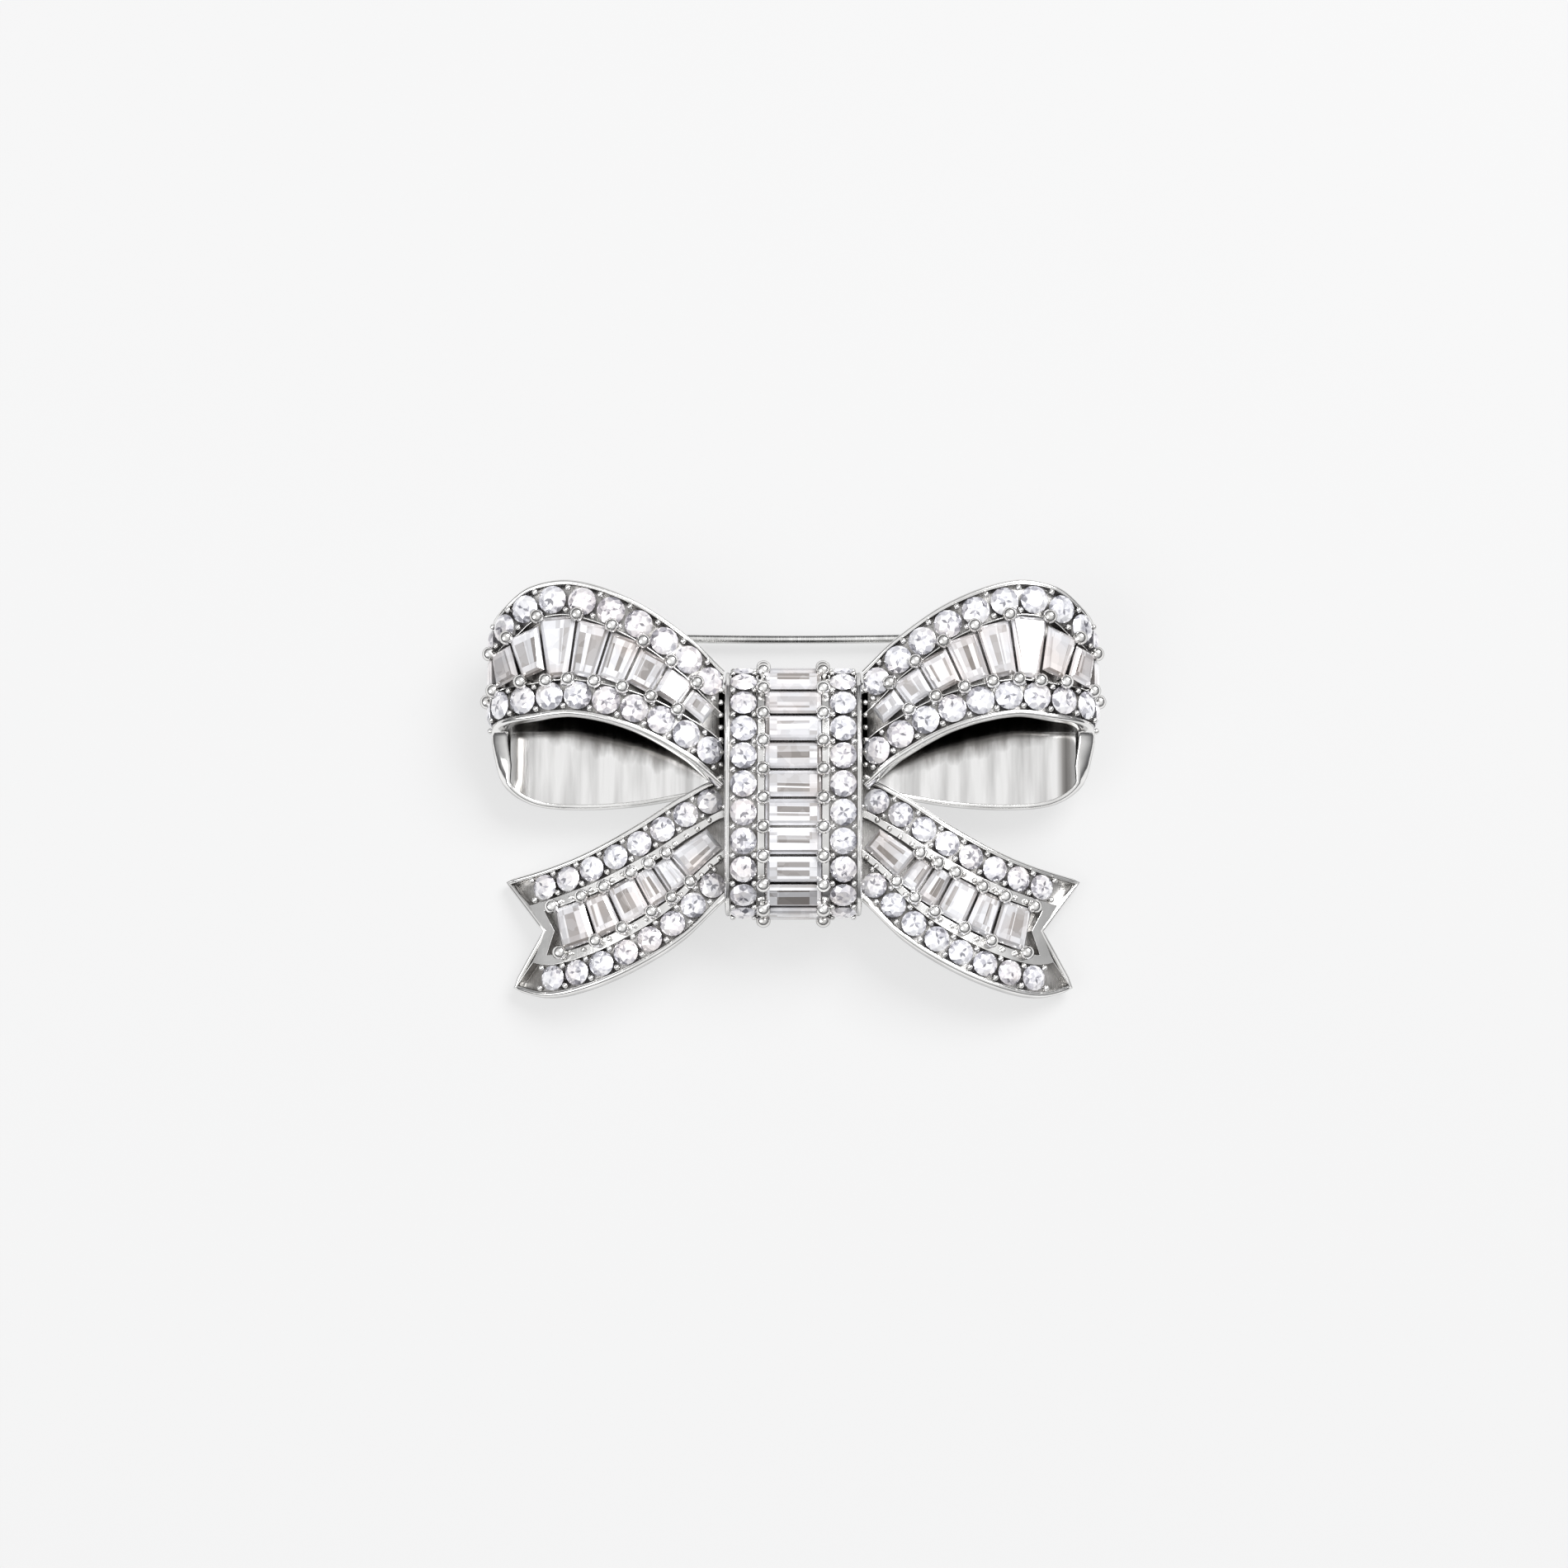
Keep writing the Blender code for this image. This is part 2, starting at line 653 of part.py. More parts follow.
def right_tail(silver, clear):
    """The right tail's casting, its two rows of round stones and its baguettes."""
    ribbon = tail_ribbon()
    start = shoulder_length(ribbon) + SEAT_CLEARANCE
    high_end = ribbon.length - TIP_RIM
    low_end = high_end - LOW_TIP_SETBACK
    middle_end = ribbon.length - NOTCH_DEPTH - NOTCH_RIM
    count = ROUND_STONES_ON_TAIL
    diameter = round_diameter(ribbon, start, (low_end, high_end), count)
    low = edge_line(ribbon, 2, round_inset(diameter))
    high = edge_line(ribbon, 3, round_inset(diameter))
    half = diameter / 2 + SEAT_CLEARANCE
    middle, clear_width = room_between(ribbon, low, high, half)

    def room(s):
        return TAIL_BAGUETTE_FILL * clear_width(s)

    baguette_seat = (middle, lambda s: room(s) / 2 + SEAT_CLEARANCE)
    rows = ((low, fixed(half)), baguette_seat, (high, fixed(half)))
    places = channel_lines(ribbon, rows, start - CHANNEL_RUNOUT, ribbon.length)
    places.insert(4, middle)
    lines = [(tip_reach(ribbon, place(ribbon.length)), place) for place in places]
    stop = max((low_end + CHANNEL_RUNOUT) / lines[2][0], (high_end + CHANNEL_RUNOUT) / lines[6][0])
    middle_stop = (middle_end + CHANNEL_RUNOUT) / lines[4][0]
    first = (start - CHANNEL_RUNOUT) / ribbon.length
    shares = [0.0]
    shares += [first + (middle_stop - first) * step / TAIL_SECTIONS for step in range(TAIL_SECTIONS + 1)]
    shares += [(middle_stop + stop) / 2, stop, 1.0]
    round_depth = round_channel_depth(diameter)
    channels = (
        (1, 2, 1, TAIL_SECTIONS + 3, round_depth),
        (3, 5, 1, TAIL_SECTIONS + 1, baguette_channel_depth()),
        (6, 7, 1, TAIL_SECTIONS + 3, round_depth),
    )
    thickness = fixed(TAIL_THICKNESS)
    pieces = [channelled("right_tail", ribbon, lines, shares, channels, thickness, silver)]
    for label, line, end in (("low", low, low_end), ("high", high, high_end)):
        row = Row(ribbon, start, end, line)
        pieces.append(round_row("right_tail_rounds_" + label, row, count, diameter, clear))
    pieces += tail_baguettes(Row(ribbon, start, middle_end, middle), room, clear)
    return pieces


def shoulder_length(ribbon):
    """How far along a tail the knot band's side stands."""
    s = 0.0
    while ribbon.at(s)[0] < SHOULDER_X:
        s += ribbon.length / 400
    return s


def tapered_halves(row, room, start, end):
    """Half widths at the two ends of a straight taper that fits the room all along."""
    steps = 8
    halves = []
    for step in range(steps + 1):
        place = start + (end - start) * step / steps
        halves.append(room(row.reach(place)) / 2 - SEAT_CLEARANCE)
    first, last = halves[0], halves[-1]
    fit = min(half / (first + (last - first) * step / steps) for step, half in enumerate(halves))
    return first * fit, last * fit


def tail_baguettes(row, room, clear):
    """A tapered stone beside the knot, then stones set across the tail, longer towards the notch."""
    start = 0.04 * row.length
    scale = (row.length - start) / sum(TAIL_BAGUETTE_SHARES)
    pieces = []
    for index, share in enumerate(TAIL_BAGUETTE_SHARES):
        end = start + share * scale
        frame = row.frame((start + end) / 2)
        if index == 0:
            frame = frame @ Matrix.Rotation(-math.pi / 2, 4, "Z")
            size = end - start - BAGUETTE_GAP
            low, high = [(-half, half) for half in tapered_halves(row, room, start, end)]
        else:
            size = baguette_size(row, room, start, end)
            low, high = sides_between(row, start, end, size)
        pieces.append(baguette("right_tail_baguette_%d" % (index + 1), frame, size, low, high, clear))
        start = end
    return pieces


def knot(silver, clear):
    """The knot band with two rows of round stones and a column of baguettes between them."""
    ribbon = knot_ribbon()
    end = ribbon.length - RIM
    middle = Row(ribbon, RIM, end, fixed(0.0))
    pitch = middle.length / KNOT_STONE_ROWS
    diameter = pitch - STONE_GAP
    seat = fixed(diameter / 2 + SEAT_CLEARANCE)
    offset = KNOT_WIDTH / 2 - round_inset(diameter)
    baguette_seat = fixed(KNOT_BAGUETTE_LENGTH / 2 + SEAT_CLEARANCE)
    rows = ((fixed(-offset), seat), (fixed(0.0), baguette_seat), (fixed(offset), seat))
    lines = [(ribbon.length, place) for place in channel_lines(ribbon, rows, 0.0, ribbon.length)]
    first = 0.3 * RIM / ribbon.length
    shares = [0.0]
    shares += [first + (1 - 2 * first) * step / KNOT_SECTIONS for step in range(KNOT_SECTIONS + 1)]
    shares.append(1.0)
    round_depth = round_channel_depth(diameter)
    channels = (
        (1, 2, 1, KNOT_SECTIONS + 1, round_depth),
        (3, 4, 1, KNOT_SECTIONS + 1, baguette_channel_depth()),
        (5, 6, 1, KNOT_SECTIONS + 1, round_depth),
    )
    pieces = [channelled("knot_band", ribbon, lines, shares, channels, fixed(KNOT_THICKNESS), silver)]
    for label, place in (("left", -offset), ("right", offset)):
        row = Row(ribbon, RIM, end, fixed(place))
        pieces.append(round_row("knot_rounds_" + label, row, KNOT_STONE_ROWS, diameter, clear))
    skipped = (KNOT_STONE_ROWS - KNOT_BAGUETTES) // 2
    for index in range(KNOT_BAGUETTES):
        place = pitch * (index + skipped + 0.5)
        half = (pitch - BAGUETTE_GAP) / 2
        sides = (-half, half)
        name = "knot_baguette_%d" % (index + 1)
        pieces.append(baguette(name, middle.frame(place), KNOT_BAGUETTE_LENGTH, sides, sides, clear))
    return pieces


def back_plate(silver):
    """The rear plate and the core that stands on it inside the knot, which the strands butt against."""
    plate_top = CORE_BACK_Z + PLATE_THICKNESS
    shoulder_z = KNOT_RIM_HEIGHT + 0.3 * (KNOT_CREST - KNOT_RIM_HEIGHT)
    top = KNOT_CREST - KNOT_THICKNESS - 2 * SOLDER_GAP
    outline = (
        (-KNOT_INNER_HALF, CORE_BACK_Z),
        (KNOT_INNER_HALF, CORE_BACK_Z),
        (KNOT_INNER_HALF, plate_top),
        (0.84 * KNOT_INNER_HALF, plate_top),
        (0.80 * KNOT_INNER_HALF, shoulder_z),
        (0.52 * KNOT_INNER_HALF, top),
        (-0.52 * KNOT_INNER_HALF, top),
        (-0.80 * KNOT_INNER_HALF, shoulder_z),
        (-0.84 * KNOT_INNER_HALF, plate_top),
        (-KNOT_INNER_HALF, plate_top),
    )
    rings = []
    for x in (-CORE_HALF_WIDTH, CORE_HALF_WIDTH):
        rings.append([Vector((x, KNOT_CENTRE_Y + y, z)) for y, z in outline])
    return swept("back_plate", rings, silver)


def mirrored(piece, name):
    """The mirror copy of a finished right-hand piece, for the left half."""
    finished = piece.evaluated_get(bpy.context.evaluated_depsgraph_get())
    mesh = bpy.data.meshes.new_from_object(finished)
    mesh.name = name
    flip = Matrix.Scale(-1, 4, Vector((1, 0, 0)))
    place = flip @ finished.matrix_world @ flip
    mesh.transform(flip)
    mesh.flip_normals()
    copy = bpy.data.objects.new(name, mesh)
    copy.matrix_world = place
    bpy.context.scene.collection.objects.link(copy)
    return copy


def cylinder(name, radius, length, centre, axis, material=None):
    """A round bar centred on a point, along Y or X."""
    rings = []
    for end in (-length / 2, length / 2):
        ring = []
        for side in range(CIRCLE_SIDES):
            angle = math.tau * side / CIRCLE_SIDES
            a = radius * math.cos(angle)
            b = radius * math.sin(angle)
            ring.append(centre + (Vector((a, end, b)) if axis == "Y" else Vector((end, a, b))))
        rings.append(ring)
    return swept(name, rings, material)


def block(name, low, high, material=None):
    """A box between two corners."""
    rings = []
    for x in (low[0], high[0]):
        rings.append([
            Vector((x, low[1], low[2])),
            Vector((x, high[1], low[2])),
            Vector((x, high[1], high[2])),
            Vector((x, low[1], high[2])),
        ])
    return swept(name, rings, material)


def loop_underside(x):
    """Height of the loop's back strand, above the table, at a distance from the middle."""
    ribbon = loop_ribbon()
    s = ribbon.length * LOOP_THIN_SHARE
    while s < ribbon.length and ribbon.at(s)[0] > abs(x):
        s += ribbon.length / 400
    return ribbon.at(s)[1]


def hinge_bracket(steel):
    """The clevis soldered behind the left loop: two round ears under one pad."""
    eye = PIN_DIAMETER + 2 * RUNNING_CLEARANCE
    width = eye + 2 * EAR_THICKNESS
    top = loop_underside(HINGE_X) - SOLDER_GAP
    outline = [(FINDING_RADIUS, top), (-FINDING_RADIUS, top)]
    for side in range(CIRCLE_SIDES // 2 + 1):
        angle = math.pi + math.pi * side / (CIRCLE_SIDES // 2)
        outline.append((FINDING_RADIUS * math.cos(angle), FINDING_Z + FINDING_RADIUS * math.sin(angle)))
    rings = []
    for y in (-width / 2, width / 2):
        rings.append([Vector((HINGE_X + x, PIN_Y + y, z)) for x, z in outline])
    bracket = swept("hinge_bracket", rings, steel)
    reach = 2 * FINDING_RADIUS
    slot_top = FINDING_Z + EYE_RADIUS + RUNNING_CLEARANCE
    slot = block("hinge_slot", (HINGE_X - reach, PIN_Y - eye / 2, -reach),
                 (HINGE_X + reach, PIN_Y + eye / 2, slot_top))
    combine(bracket, slot, "DIFFERENCE")
    centre = Vector((HINGE_X, PIN_Y, FINDING_Z))
    hole = cylinder("hinge_hole", RIVET_RADIUS + RUNNING_CLEARANCE, 2 * width, centre, "Y")
    combine(bracket, hole, "DIFFERENCE")
    return bracket


def hinge_rivet(steel):
    """The rivet through both ears and the pin's eye, with a head outside each ear."""
    half = PIN_DIAMETER / 2 + RUNNING_CLEARANCE + EAR_THICKNESS + RUNNING_CLEARANCE
    levels = (
        (-half - RIVET_HEAD, RIVET_HEAD_RADIUS * 0.7),
        (-half - RIVET_HEAD / 2, RIVET_HEAD_RADIUS),
        (-half, RIVET_HEAD_RADIUS),
        (-half, RIVET_RADIUS),
        (half, RIVET_RADIUS),
        (half, RIVET_HEAD_RADIUS),
        (half + RIVET_HEAD / 2, RIVET_HEAD_RADIUS),
        (half + RIVET_HEAD, RIVET_HEAD_RADIUS * 0.7),
    )
    rings = []
    for y, radius in levels:
        ring = []
        for side in range(CIRCLE_SIDES):
            angle = math.tau * side / CIRCLE_SIDES
            ring.append(Vector((HINGE_X + radius * math.cos(angle), PIN_Y + y,
                                FINDING_Z + radius * math.sin(angle))))
        rings.append(ring)
    return swept("hinge_rivet", rings, steel)


def pin_stem(steel, axis):
    """The pin: an eye on the rivet, a slightly bowed wire and a sharp point past the catch."""
    centre = Vector((HINGE_X, PIN_Y, FINDING_Z))
    eye = cylinder("pin_stem", EYE_RADIUS, PIN_DIAMETER, centre, "Y", steel)
    start = HINGE_X + 0.6 * (EYE_RADIUS + RIVET_RADIUS)
    length = PIN_TIP_X - start
    sections = 14
    sides = 10
    rings = []
    for index in range(sections + 1):
        share = index / sections
        x = start + length * share
        bend = -PIN_BOW * math.sin(math.pi * min(1.0, (x - HINGE_X) / (CATCH_X - HINGE_X)))
        sharp = max(0.06, min(1.0, (start + length - x) / PIN_POINT))
        radius = 0.98 * PIN_DIAMETER / 2 * sharp
        ring = []
        for side in range(sides):
            angle = math.tau * side / sides
            ring.append(Vector((x, PIN_Y + bend + radius * math.cos(angle),
                                FINDING_Z + radius * math.sin(angle))))
        rings.append(ring)
    wire = swept("pin_wire", rings, steel)
    combine(eye, wire, "UNION")
    hole = cylinder("pin_eye_hole", RIVET_RADIUS + RUNNING_CLEARANCE, 2 * PIN_DIAMETER, centre, "Y")
    combine(eye, hole, "DIFFERENCE")
    give_origin(eye, axis)
    return eye


def give_origin(piece, empty):
    """Hang a piece on an empty, with its own origin there, and leave its shape where it is."""
    piece.data.transform(Matrix.Translation(-empty.location))
    piece.parent = empty


def open_ring(outer, slot_half, steps=14):
    """Half of a round outline, from the slot at the bottom round to it again, in Y and Z."""
    start = math.asin(slot_half / outer) - math.pi / 2
    points = []
    for step in range(steps + 1):
        angle = start + (math.pi - 2 * start) * step / steps
        points.append((outer * math.cos(angle), outer * math.sin(angle)))
    return points


def catch_body(steel):
    """The catch soldered behind the right loop: a ring open below, under a pad."""
    bore = FINDING_RADIUS - CATCH_WALL
    slot = PIN_DIAMETER / 2 + 2 * RUNNING_CLEARANCE
    outline = open_ring(FINDING_RADIUS, slot) + open_ring(bore, slot)[::-1]
    rings = []
    for x in (-CATCH_LENGTH / 2, CATCH_LENGTH / 2):
        rings.append([Vector((CATCH_X + x, PIN_Y + y, FINDING_Z + z)) for y, z in outline])
    ring = swept("catch_body", rings, steel)
    half = 0.9 * FINDING_RADIUS
    top = loop_underside(CATCH_X) - SOLDER_GAP
    pad = block("catch_pad", (CATCH_X - 0.4 * CATCH_LENGTH, PIN_Y - half, FINDING_Z + 0.8 * FINDING_RADIUS),
                (CATCH_X + 0.4 * CATCH_LENGTH, PIN_Y + half, top))
    combine(ring, pad, "UNION")
    return ring


def catch_collar(steel, axis):
    """The collar that turns in the catch: a slotted sleeve, a flange at each end and a thumb tab."""
    sleeve = FINDING_RADIUS - CATCH_WALL - RUNNING_CLEARANCE
    slot = PIN_DIAMETER / 2 + RUNNING_CLEARANCE
    half = CATCH_LENGTH / 2 + RUNNING_CLEARANCE
    far = half + COLLAR_FLANGE
    slot_outline = [(slot * math.cos(math.pi * step / 8), slot * math.sin(math.pi * step / 8))
                    for step in range(9)]
    rings = []
    for x, radius in ((-far, COLLAR_RADIUS), (-half, COLLAR_RADIUS), (-half, sleeve),
                      (half, sleeve), (half, COLLAR_RADIUS), (far, COLLAR_RADIUS)):
        depth = -math.sqrt(sleeve ** 2 - slot ** 2)
        outline = open_ring(radius, slot)
        outline += [(-slot, depth)] + slot_outline[::-1] + [(slot, depth)]
        rings.append([Vector((CATCH_X + x, PIN_Y + y, FINDING_Z + z)) for y, z in outline])
    collar = swept("catch_collar", rings, steel)
    inset = 0.2 * COLLAR_FLANGE
    tab = block("catch_tab",
                (CATCH_X + half + inset, PIN_Y + 0.75 * COLLAR_RADIUS, FINDING_Z - TAB_WIDTH / 2),
                (CATCH_X + far - inset, PIN_Y + TAB_REACH, FINDING_Z + TAB_WIDTH / 2))
    combine(collar, tab, "UNION")
    give_origin(collar, axis)
    return collar


def metal(name, color, roughness):
    """A polished metal material."""
    material = bpy.data.materials.new(name)
    material.use_nodes = True
    shader = material.node_tree.nodes["Principled BSDF"]
    shader.inputs["Base Color"].default_value = (*color, 1)
    shader.inputs["Roughness"].default_value = roughness
    shader.inputs["Metallic"].default_value = 1.0
    material.diffuse_color = (*color, 1)
    return material


def stone_glass(name, color):
    """A clear cut stone material."""
    material = bpy.data.materials.new(name)
    material.use_nodes = True
    shader = material.node_tree.nodes["Principled BSDF"]
    shader.inputs["Base Color"].default_value = (*color, 1)
    shader.inputs["Roughness"].default_value = 0.02
    shader.inputs["Metallic"].default_value = 0.0
    material.diffuse_color = (*color, 1)
    return material


def empty(name, place):
    """A guide that pieces are placed by."""
    guide = bpy.data.objects.new(name, None)
    guide.location = place
    bpy.context.scene.collection.objects.link(guide)
    return guide


def main():
    """Build the whole brooch."""
    for old in list(bpy.data.objects):
        bpy.data.objects.remove(old, do_unlink=True)
    silver = metal("polished_silver", (0.82, 0.81, 0.79), 0.12)
    steel = metal("bright_steel", (0.62, 0.61, 0.60), 0.22)
    clear = stone_glass("clear_stone", (0.90, 0.90, 0.94))
    bow = empty("bow", (0, 0, 0))
    hinge_axis = empty("hinge_axis", (HINGE_X, PIN_Y, FINDING_Z))
    catch_axis = empty("catch_axis", (CATCH_X, PIN_Y, FINDING_Z))
    right = right_loop(silver, clear) + right_tail(silver, clear)
    bpy.context.view_layer.update()
    left = [mirrored(piece, piece.name.replace("right", "left")) for piece in right]
    findings = [hinge_bracket(steel), hinge_rivet(steel), catch_body(steel)]
    for piece in right + left + knot(silver, clear) + [back_plate(silver)] + findings:
        piece.parent = bow
    turning = [pin_stem(steel, hinge_axis), catch_collar(steel, catch_axis)]
    for piece in findings + turning:
        smooth_round(piece)


main()
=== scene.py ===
"""Looks of a bow brooch: polished castings, cut stones, prongs, beads, pin and catch.

Every size and place comes from the frame or from the named sizes below. Lengths are in metres,
X runs to the right as the jewelled face is seen, Y towards the loops and Z out of that face.
The right half is drawn once, and the left half is its mirror image with its own stones.
"""

import logging
import math
import random
from collections.abc import Callable, Sequence
from dataclasses import dataclass, field
from enum import Enum

import bpy
import bmesh
from mathutils import Matrix, Vector


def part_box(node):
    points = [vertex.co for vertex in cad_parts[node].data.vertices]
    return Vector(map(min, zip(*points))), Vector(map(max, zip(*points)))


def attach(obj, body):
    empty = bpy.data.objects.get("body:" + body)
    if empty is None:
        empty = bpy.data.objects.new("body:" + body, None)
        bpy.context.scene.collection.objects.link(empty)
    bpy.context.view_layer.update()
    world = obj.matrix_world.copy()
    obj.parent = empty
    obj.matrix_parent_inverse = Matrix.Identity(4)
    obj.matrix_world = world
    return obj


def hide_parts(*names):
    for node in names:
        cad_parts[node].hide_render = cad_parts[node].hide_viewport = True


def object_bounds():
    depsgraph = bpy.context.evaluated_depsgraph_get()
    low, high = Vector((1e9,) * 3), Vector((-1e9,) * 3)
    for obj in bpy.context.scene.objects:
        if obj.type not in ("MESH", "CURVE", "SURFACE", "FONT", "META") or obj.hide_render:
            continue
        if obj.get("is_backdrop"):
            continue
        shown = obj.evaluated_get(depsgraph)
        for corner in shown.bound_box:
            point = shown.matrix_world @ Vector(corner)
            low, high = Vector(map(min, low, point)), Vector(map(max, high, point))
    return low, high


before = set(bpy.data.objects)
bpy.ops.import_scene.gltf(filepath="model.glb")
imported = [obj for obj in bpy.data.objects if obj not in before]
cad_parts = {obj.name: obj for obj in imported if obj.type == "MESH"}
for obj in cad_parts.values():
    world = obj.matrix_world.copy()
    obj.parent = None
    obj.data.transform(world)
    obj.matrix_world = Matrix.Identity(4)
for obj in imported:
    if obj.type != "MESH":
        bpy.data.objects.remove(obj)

MM = 0.001
SLOPE_SHARE = 1 / 120                # of a strip, over which a line's slope is taken
EDGE_SLOPE_SHARE = 1 / 200
POLISHED_SLOT, SHADED_SLOT, MIRROR_SLOT = range(3)
WHITE = (1.0, 1.0, 1.0)
LOG = logging.getLogger("brooch")
Line = Callable[[float], float]
Colour = tuple[float, float, float]


class Side(Enum):
    """Which half of the bow a piece belongs to."""

    LEFT = "left"
    RIGHT = "right"
    MIDDLE = "knot"

    def place(self, point: Vector) -> Vector:
        """Move a point drawn for the right half to this half."""
        return Vector((-point.x, point.y, point.z)) if self is Side.LEFT else point.copy()


@dataclass
class Blank:
    """A mesh in the making, drawn for the right half and placed on its own side.

    Attributes:
        side: The half of the bow that the mesh is for.
        points: Its points.
        faces: The numbers of each face's points.
        tones: Each face's tone of painted light and shade, from dark to bright.
        slots: Each face's material slot.
    """

    side: Side
    points: list[Vector] = field(default_factory=list)
    faces: list[tuple[int, ...]] = field(default_factory=list)
    tones: list[float] = field(default_factory=list)
    slots: list[int] = field(default_factory=list)

    def add(self, point: Vector) -> int:
        """Add a point and return its number."""
        self.points.append(self.side.place(point))
        return len(self.points) - 1

    def face(self, corners: Sequence[int], tone: float = 0.5, slot: int = 0) -> None:
        """Add a face with its tone and its material slot.

        Args:
            corners: The numbers of the face's points.
            tone: Its tone of painted light and shade, from 0 for dark to 1 for bright.
            slot: Its material slot.
        """
        self.faces.append(tuple(corners))
        self.tones.append(tone)
        self.slots.append(slot)

    def tube(self, rings: Sequence[Sequence[int]], closed: bool = False) -> None:
        """Join rings of points into a tube.

        Args:
            rings: Rings of point numbers, all of one length.
            closed: Whether the last ring joins the first, or both ends are capped.
        """
        count = len(rings[0])
        pairs = list(zip(rings, rings[1:]))
        if closed:
            pairs.append((rings[-1], rings[0]))
        for before, after in pairs:
            for side in range(count):
                beside = (side + 1) % count
                self.face((before[side], before[beside], after[beside], after[side]))
        if not closed:
            self.face(rings[0])
            self.face(rings[-1])

    def build(self, name: str, materials: Sequence[bpy.types.Material],
              sharp: float | None = None) -> bpy.types.Object:
        """Make the object, with its faces pointing out.

        Args:
            name: The object's name.
            materials: One material for each slot.
            sharp: The angle in degrees past which an edge stays sharp, or None for flat facets.

        Returns:
            The new object, linked to the scene.
        """
        mesh = bpy.data.meshes.new(name)
        mesh.from_pydata(self.points, [], self.faces)
        solid = bmesh.new()
        solid.from_mesh(mesh)
        bmesh.ops.recalc_face_normals(solid, faces=solid.faces)
        solid.to_mesh(mesh)
        solid.free()
        mesh.attributes.new("tone", "FLOAT", "FACE").data.foreach_set("value", self.tones)
        mesh.polygons.foreach_set("material_index", self.slots)
        for material in materials:
            mesh.materials.append(material)
        if sharp is not None:
            mesh.shade_smooth()
            mesh.set_sharp_from_angle(angle=math.radians(sharp))
        piece = bpy.data.objects.new(name, mesh)
        bpy.context.scene.collection.objects.link(piece)
        return piece


def install(piece: bpy.types.Object, body: str, slot: str, *nodes: str) -> None:
    """Fix a piece to its body, in place of the named plain solids.

    Args:
        piece: The finished piece.
        body: The body that it moves with.
        slot: The record's material slot; not used.
        nodes: Plain solids that the piece stands for.
    """
    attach(piece, body)
    if nodes:
        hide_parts(*nodes)
    LOG.info("%s: %d faces, rides on %s", piece.name, len(piece.data.polygons), body)


# ---------------------------------------------------------------- ribbons


def spline(points: Sequence[Sequence[float]], steps: int) -> list[Vector]:
    """Draw a smooth curve through points.

    Args:
        points: The points, of any number of coordinates.
        steps: Steps between each two points.

    Returns:
        Points along the curve.
    """
    curve = []
    last = len(points) - 1
    for index in range(last):
        start = Vector(points[index])
        end = Vector(points[index + 1])
        before = Vector(points[max(index - 1, 0)])
        after = Vector(points[min(index + 2, last)])
        span = (end - start).length
        start_slope = (end - before) * (span / (span + (start - before).length))
        end_slope = (after - start) * (span / (span + (after - end).length))
        for step in range(steps):
            t = step / steps
            rise = t * t * (3 - 2 * t)
            bend = start_slope * (t * (1 - t) * (1 - t)) - end_slope * (t * t * (1 - t))
            curve.append(start * (1 - rise) + end * rise + bend)
    curve.append(Vector(points[last]))
    return curve


def fixed(value: float) -> Line:
    """Return a size that is the same all along."""
    return lambda s: value


@dataclass
class Ribbon:
    """A strip bent along a side profile: s is the length along it, v the place across it.

    Attributes:
        rows: Profile place, height, low edge and high edge at each sample.
        across: The direction in which v grows.
        along: The direction in which the profile's place grows.
        normal_steps: Steps of the whole length, one of which is taken to find a normal.
    """

    rows: list[Vector]
    across: Vector
    along: Vector
    normal_steps: int = 400

    def __post_init__(self) -> None:
        """Measure the profile."""
        self.lengths = [0.0]
        for before, after in zip(self.rows, self.rows[1:]):
            self.lengths.append(self.lengths[-1] + math.dist(before[:2], after[:2]))
        self.length = self.lengths[-1]

    def at(self, s: float) -> Vector:
        """Return profile place, height, low edge and high edge at s.

        Args:
            s: The length along the strip.

        Returns:
            The four values, between the samples on either side.
        """
        index = 1
        while index < len(self.rows) - 1 and self.lengths[index] < s:
            index += 1
        start = self.lengths[index - 1]
        return self.rows[index - 1].lerp(self.rows[index], (s - start) / (self.lengths[index] - start))

    def normal(self, s: float) -> Vector:
        """Return the way out of the front surface at s.

        Args:
            s: The length along the strip.

        Returns:
            A unit vector, square to the profile and to the way across.
        """
        step = self.length / self.normal_steps
        ahead = self.at(s + step) - self.at(s - step)
        tangent = (self.along * ahead[0] + Vector((0, 0, ahead[1]))).normalized()
        return tangent.cross(self.across).normalized()

    def point(self, s: float, v: float, rise: float = 0.0) -> Vector:
        """Return the point at s and v, that far out of the front surface."""
        place = self.at(s)
        return self.along * place[0] + self.across * v + Vector((0, 0, place[1])) + self.normal(s) * rise

    def low(self, s: float) -> float:
        """Return the low edge's place across the strip."""
        return self.at(s)[2]

    def high(self, s: float) -> float:
        """Return the high edge's place across the strip."""
        return self.at(s)[3]

    def stretch(self, line: Line, s: float, share: float) -> float:
        """Return how much longer a line is than the profile under it, over a share of the strip."""
        step = self.length * share
        return math.hypot(1, (line(s + step) - line(s - step)) / (2 * step))

    def beside(self, line: Line, offset: float) -> Line:
        """Return the line at a signed distance from another, square to it."""
        return lambda s: line(s) + offset * self.stretch(line, s, SLOPE_SHARE)

    def held(self, line: Line, start: float, end: float) -> Line:
        """Keep a line between start and end, and its share of the width before and after.

        Args:
            line: The line to keep.
            start: Where it starts.
            end: Where it ends.

        Returns:
            The line all along the strip.
        """
        def kept(s: float) -> float:
            """Return the kept line's place at s.

            Args:
                s: The length along the strip.

            Returns:
                The place across the strip.
            """
            nearest = max(start, min(end, s))
            low, high = self.low(nearest), self.high(nearest)
            share = (line(nearest) - low) / (high - low)
            return self.low(s) + share * (self.high(s) - self.low(s))

        return kept


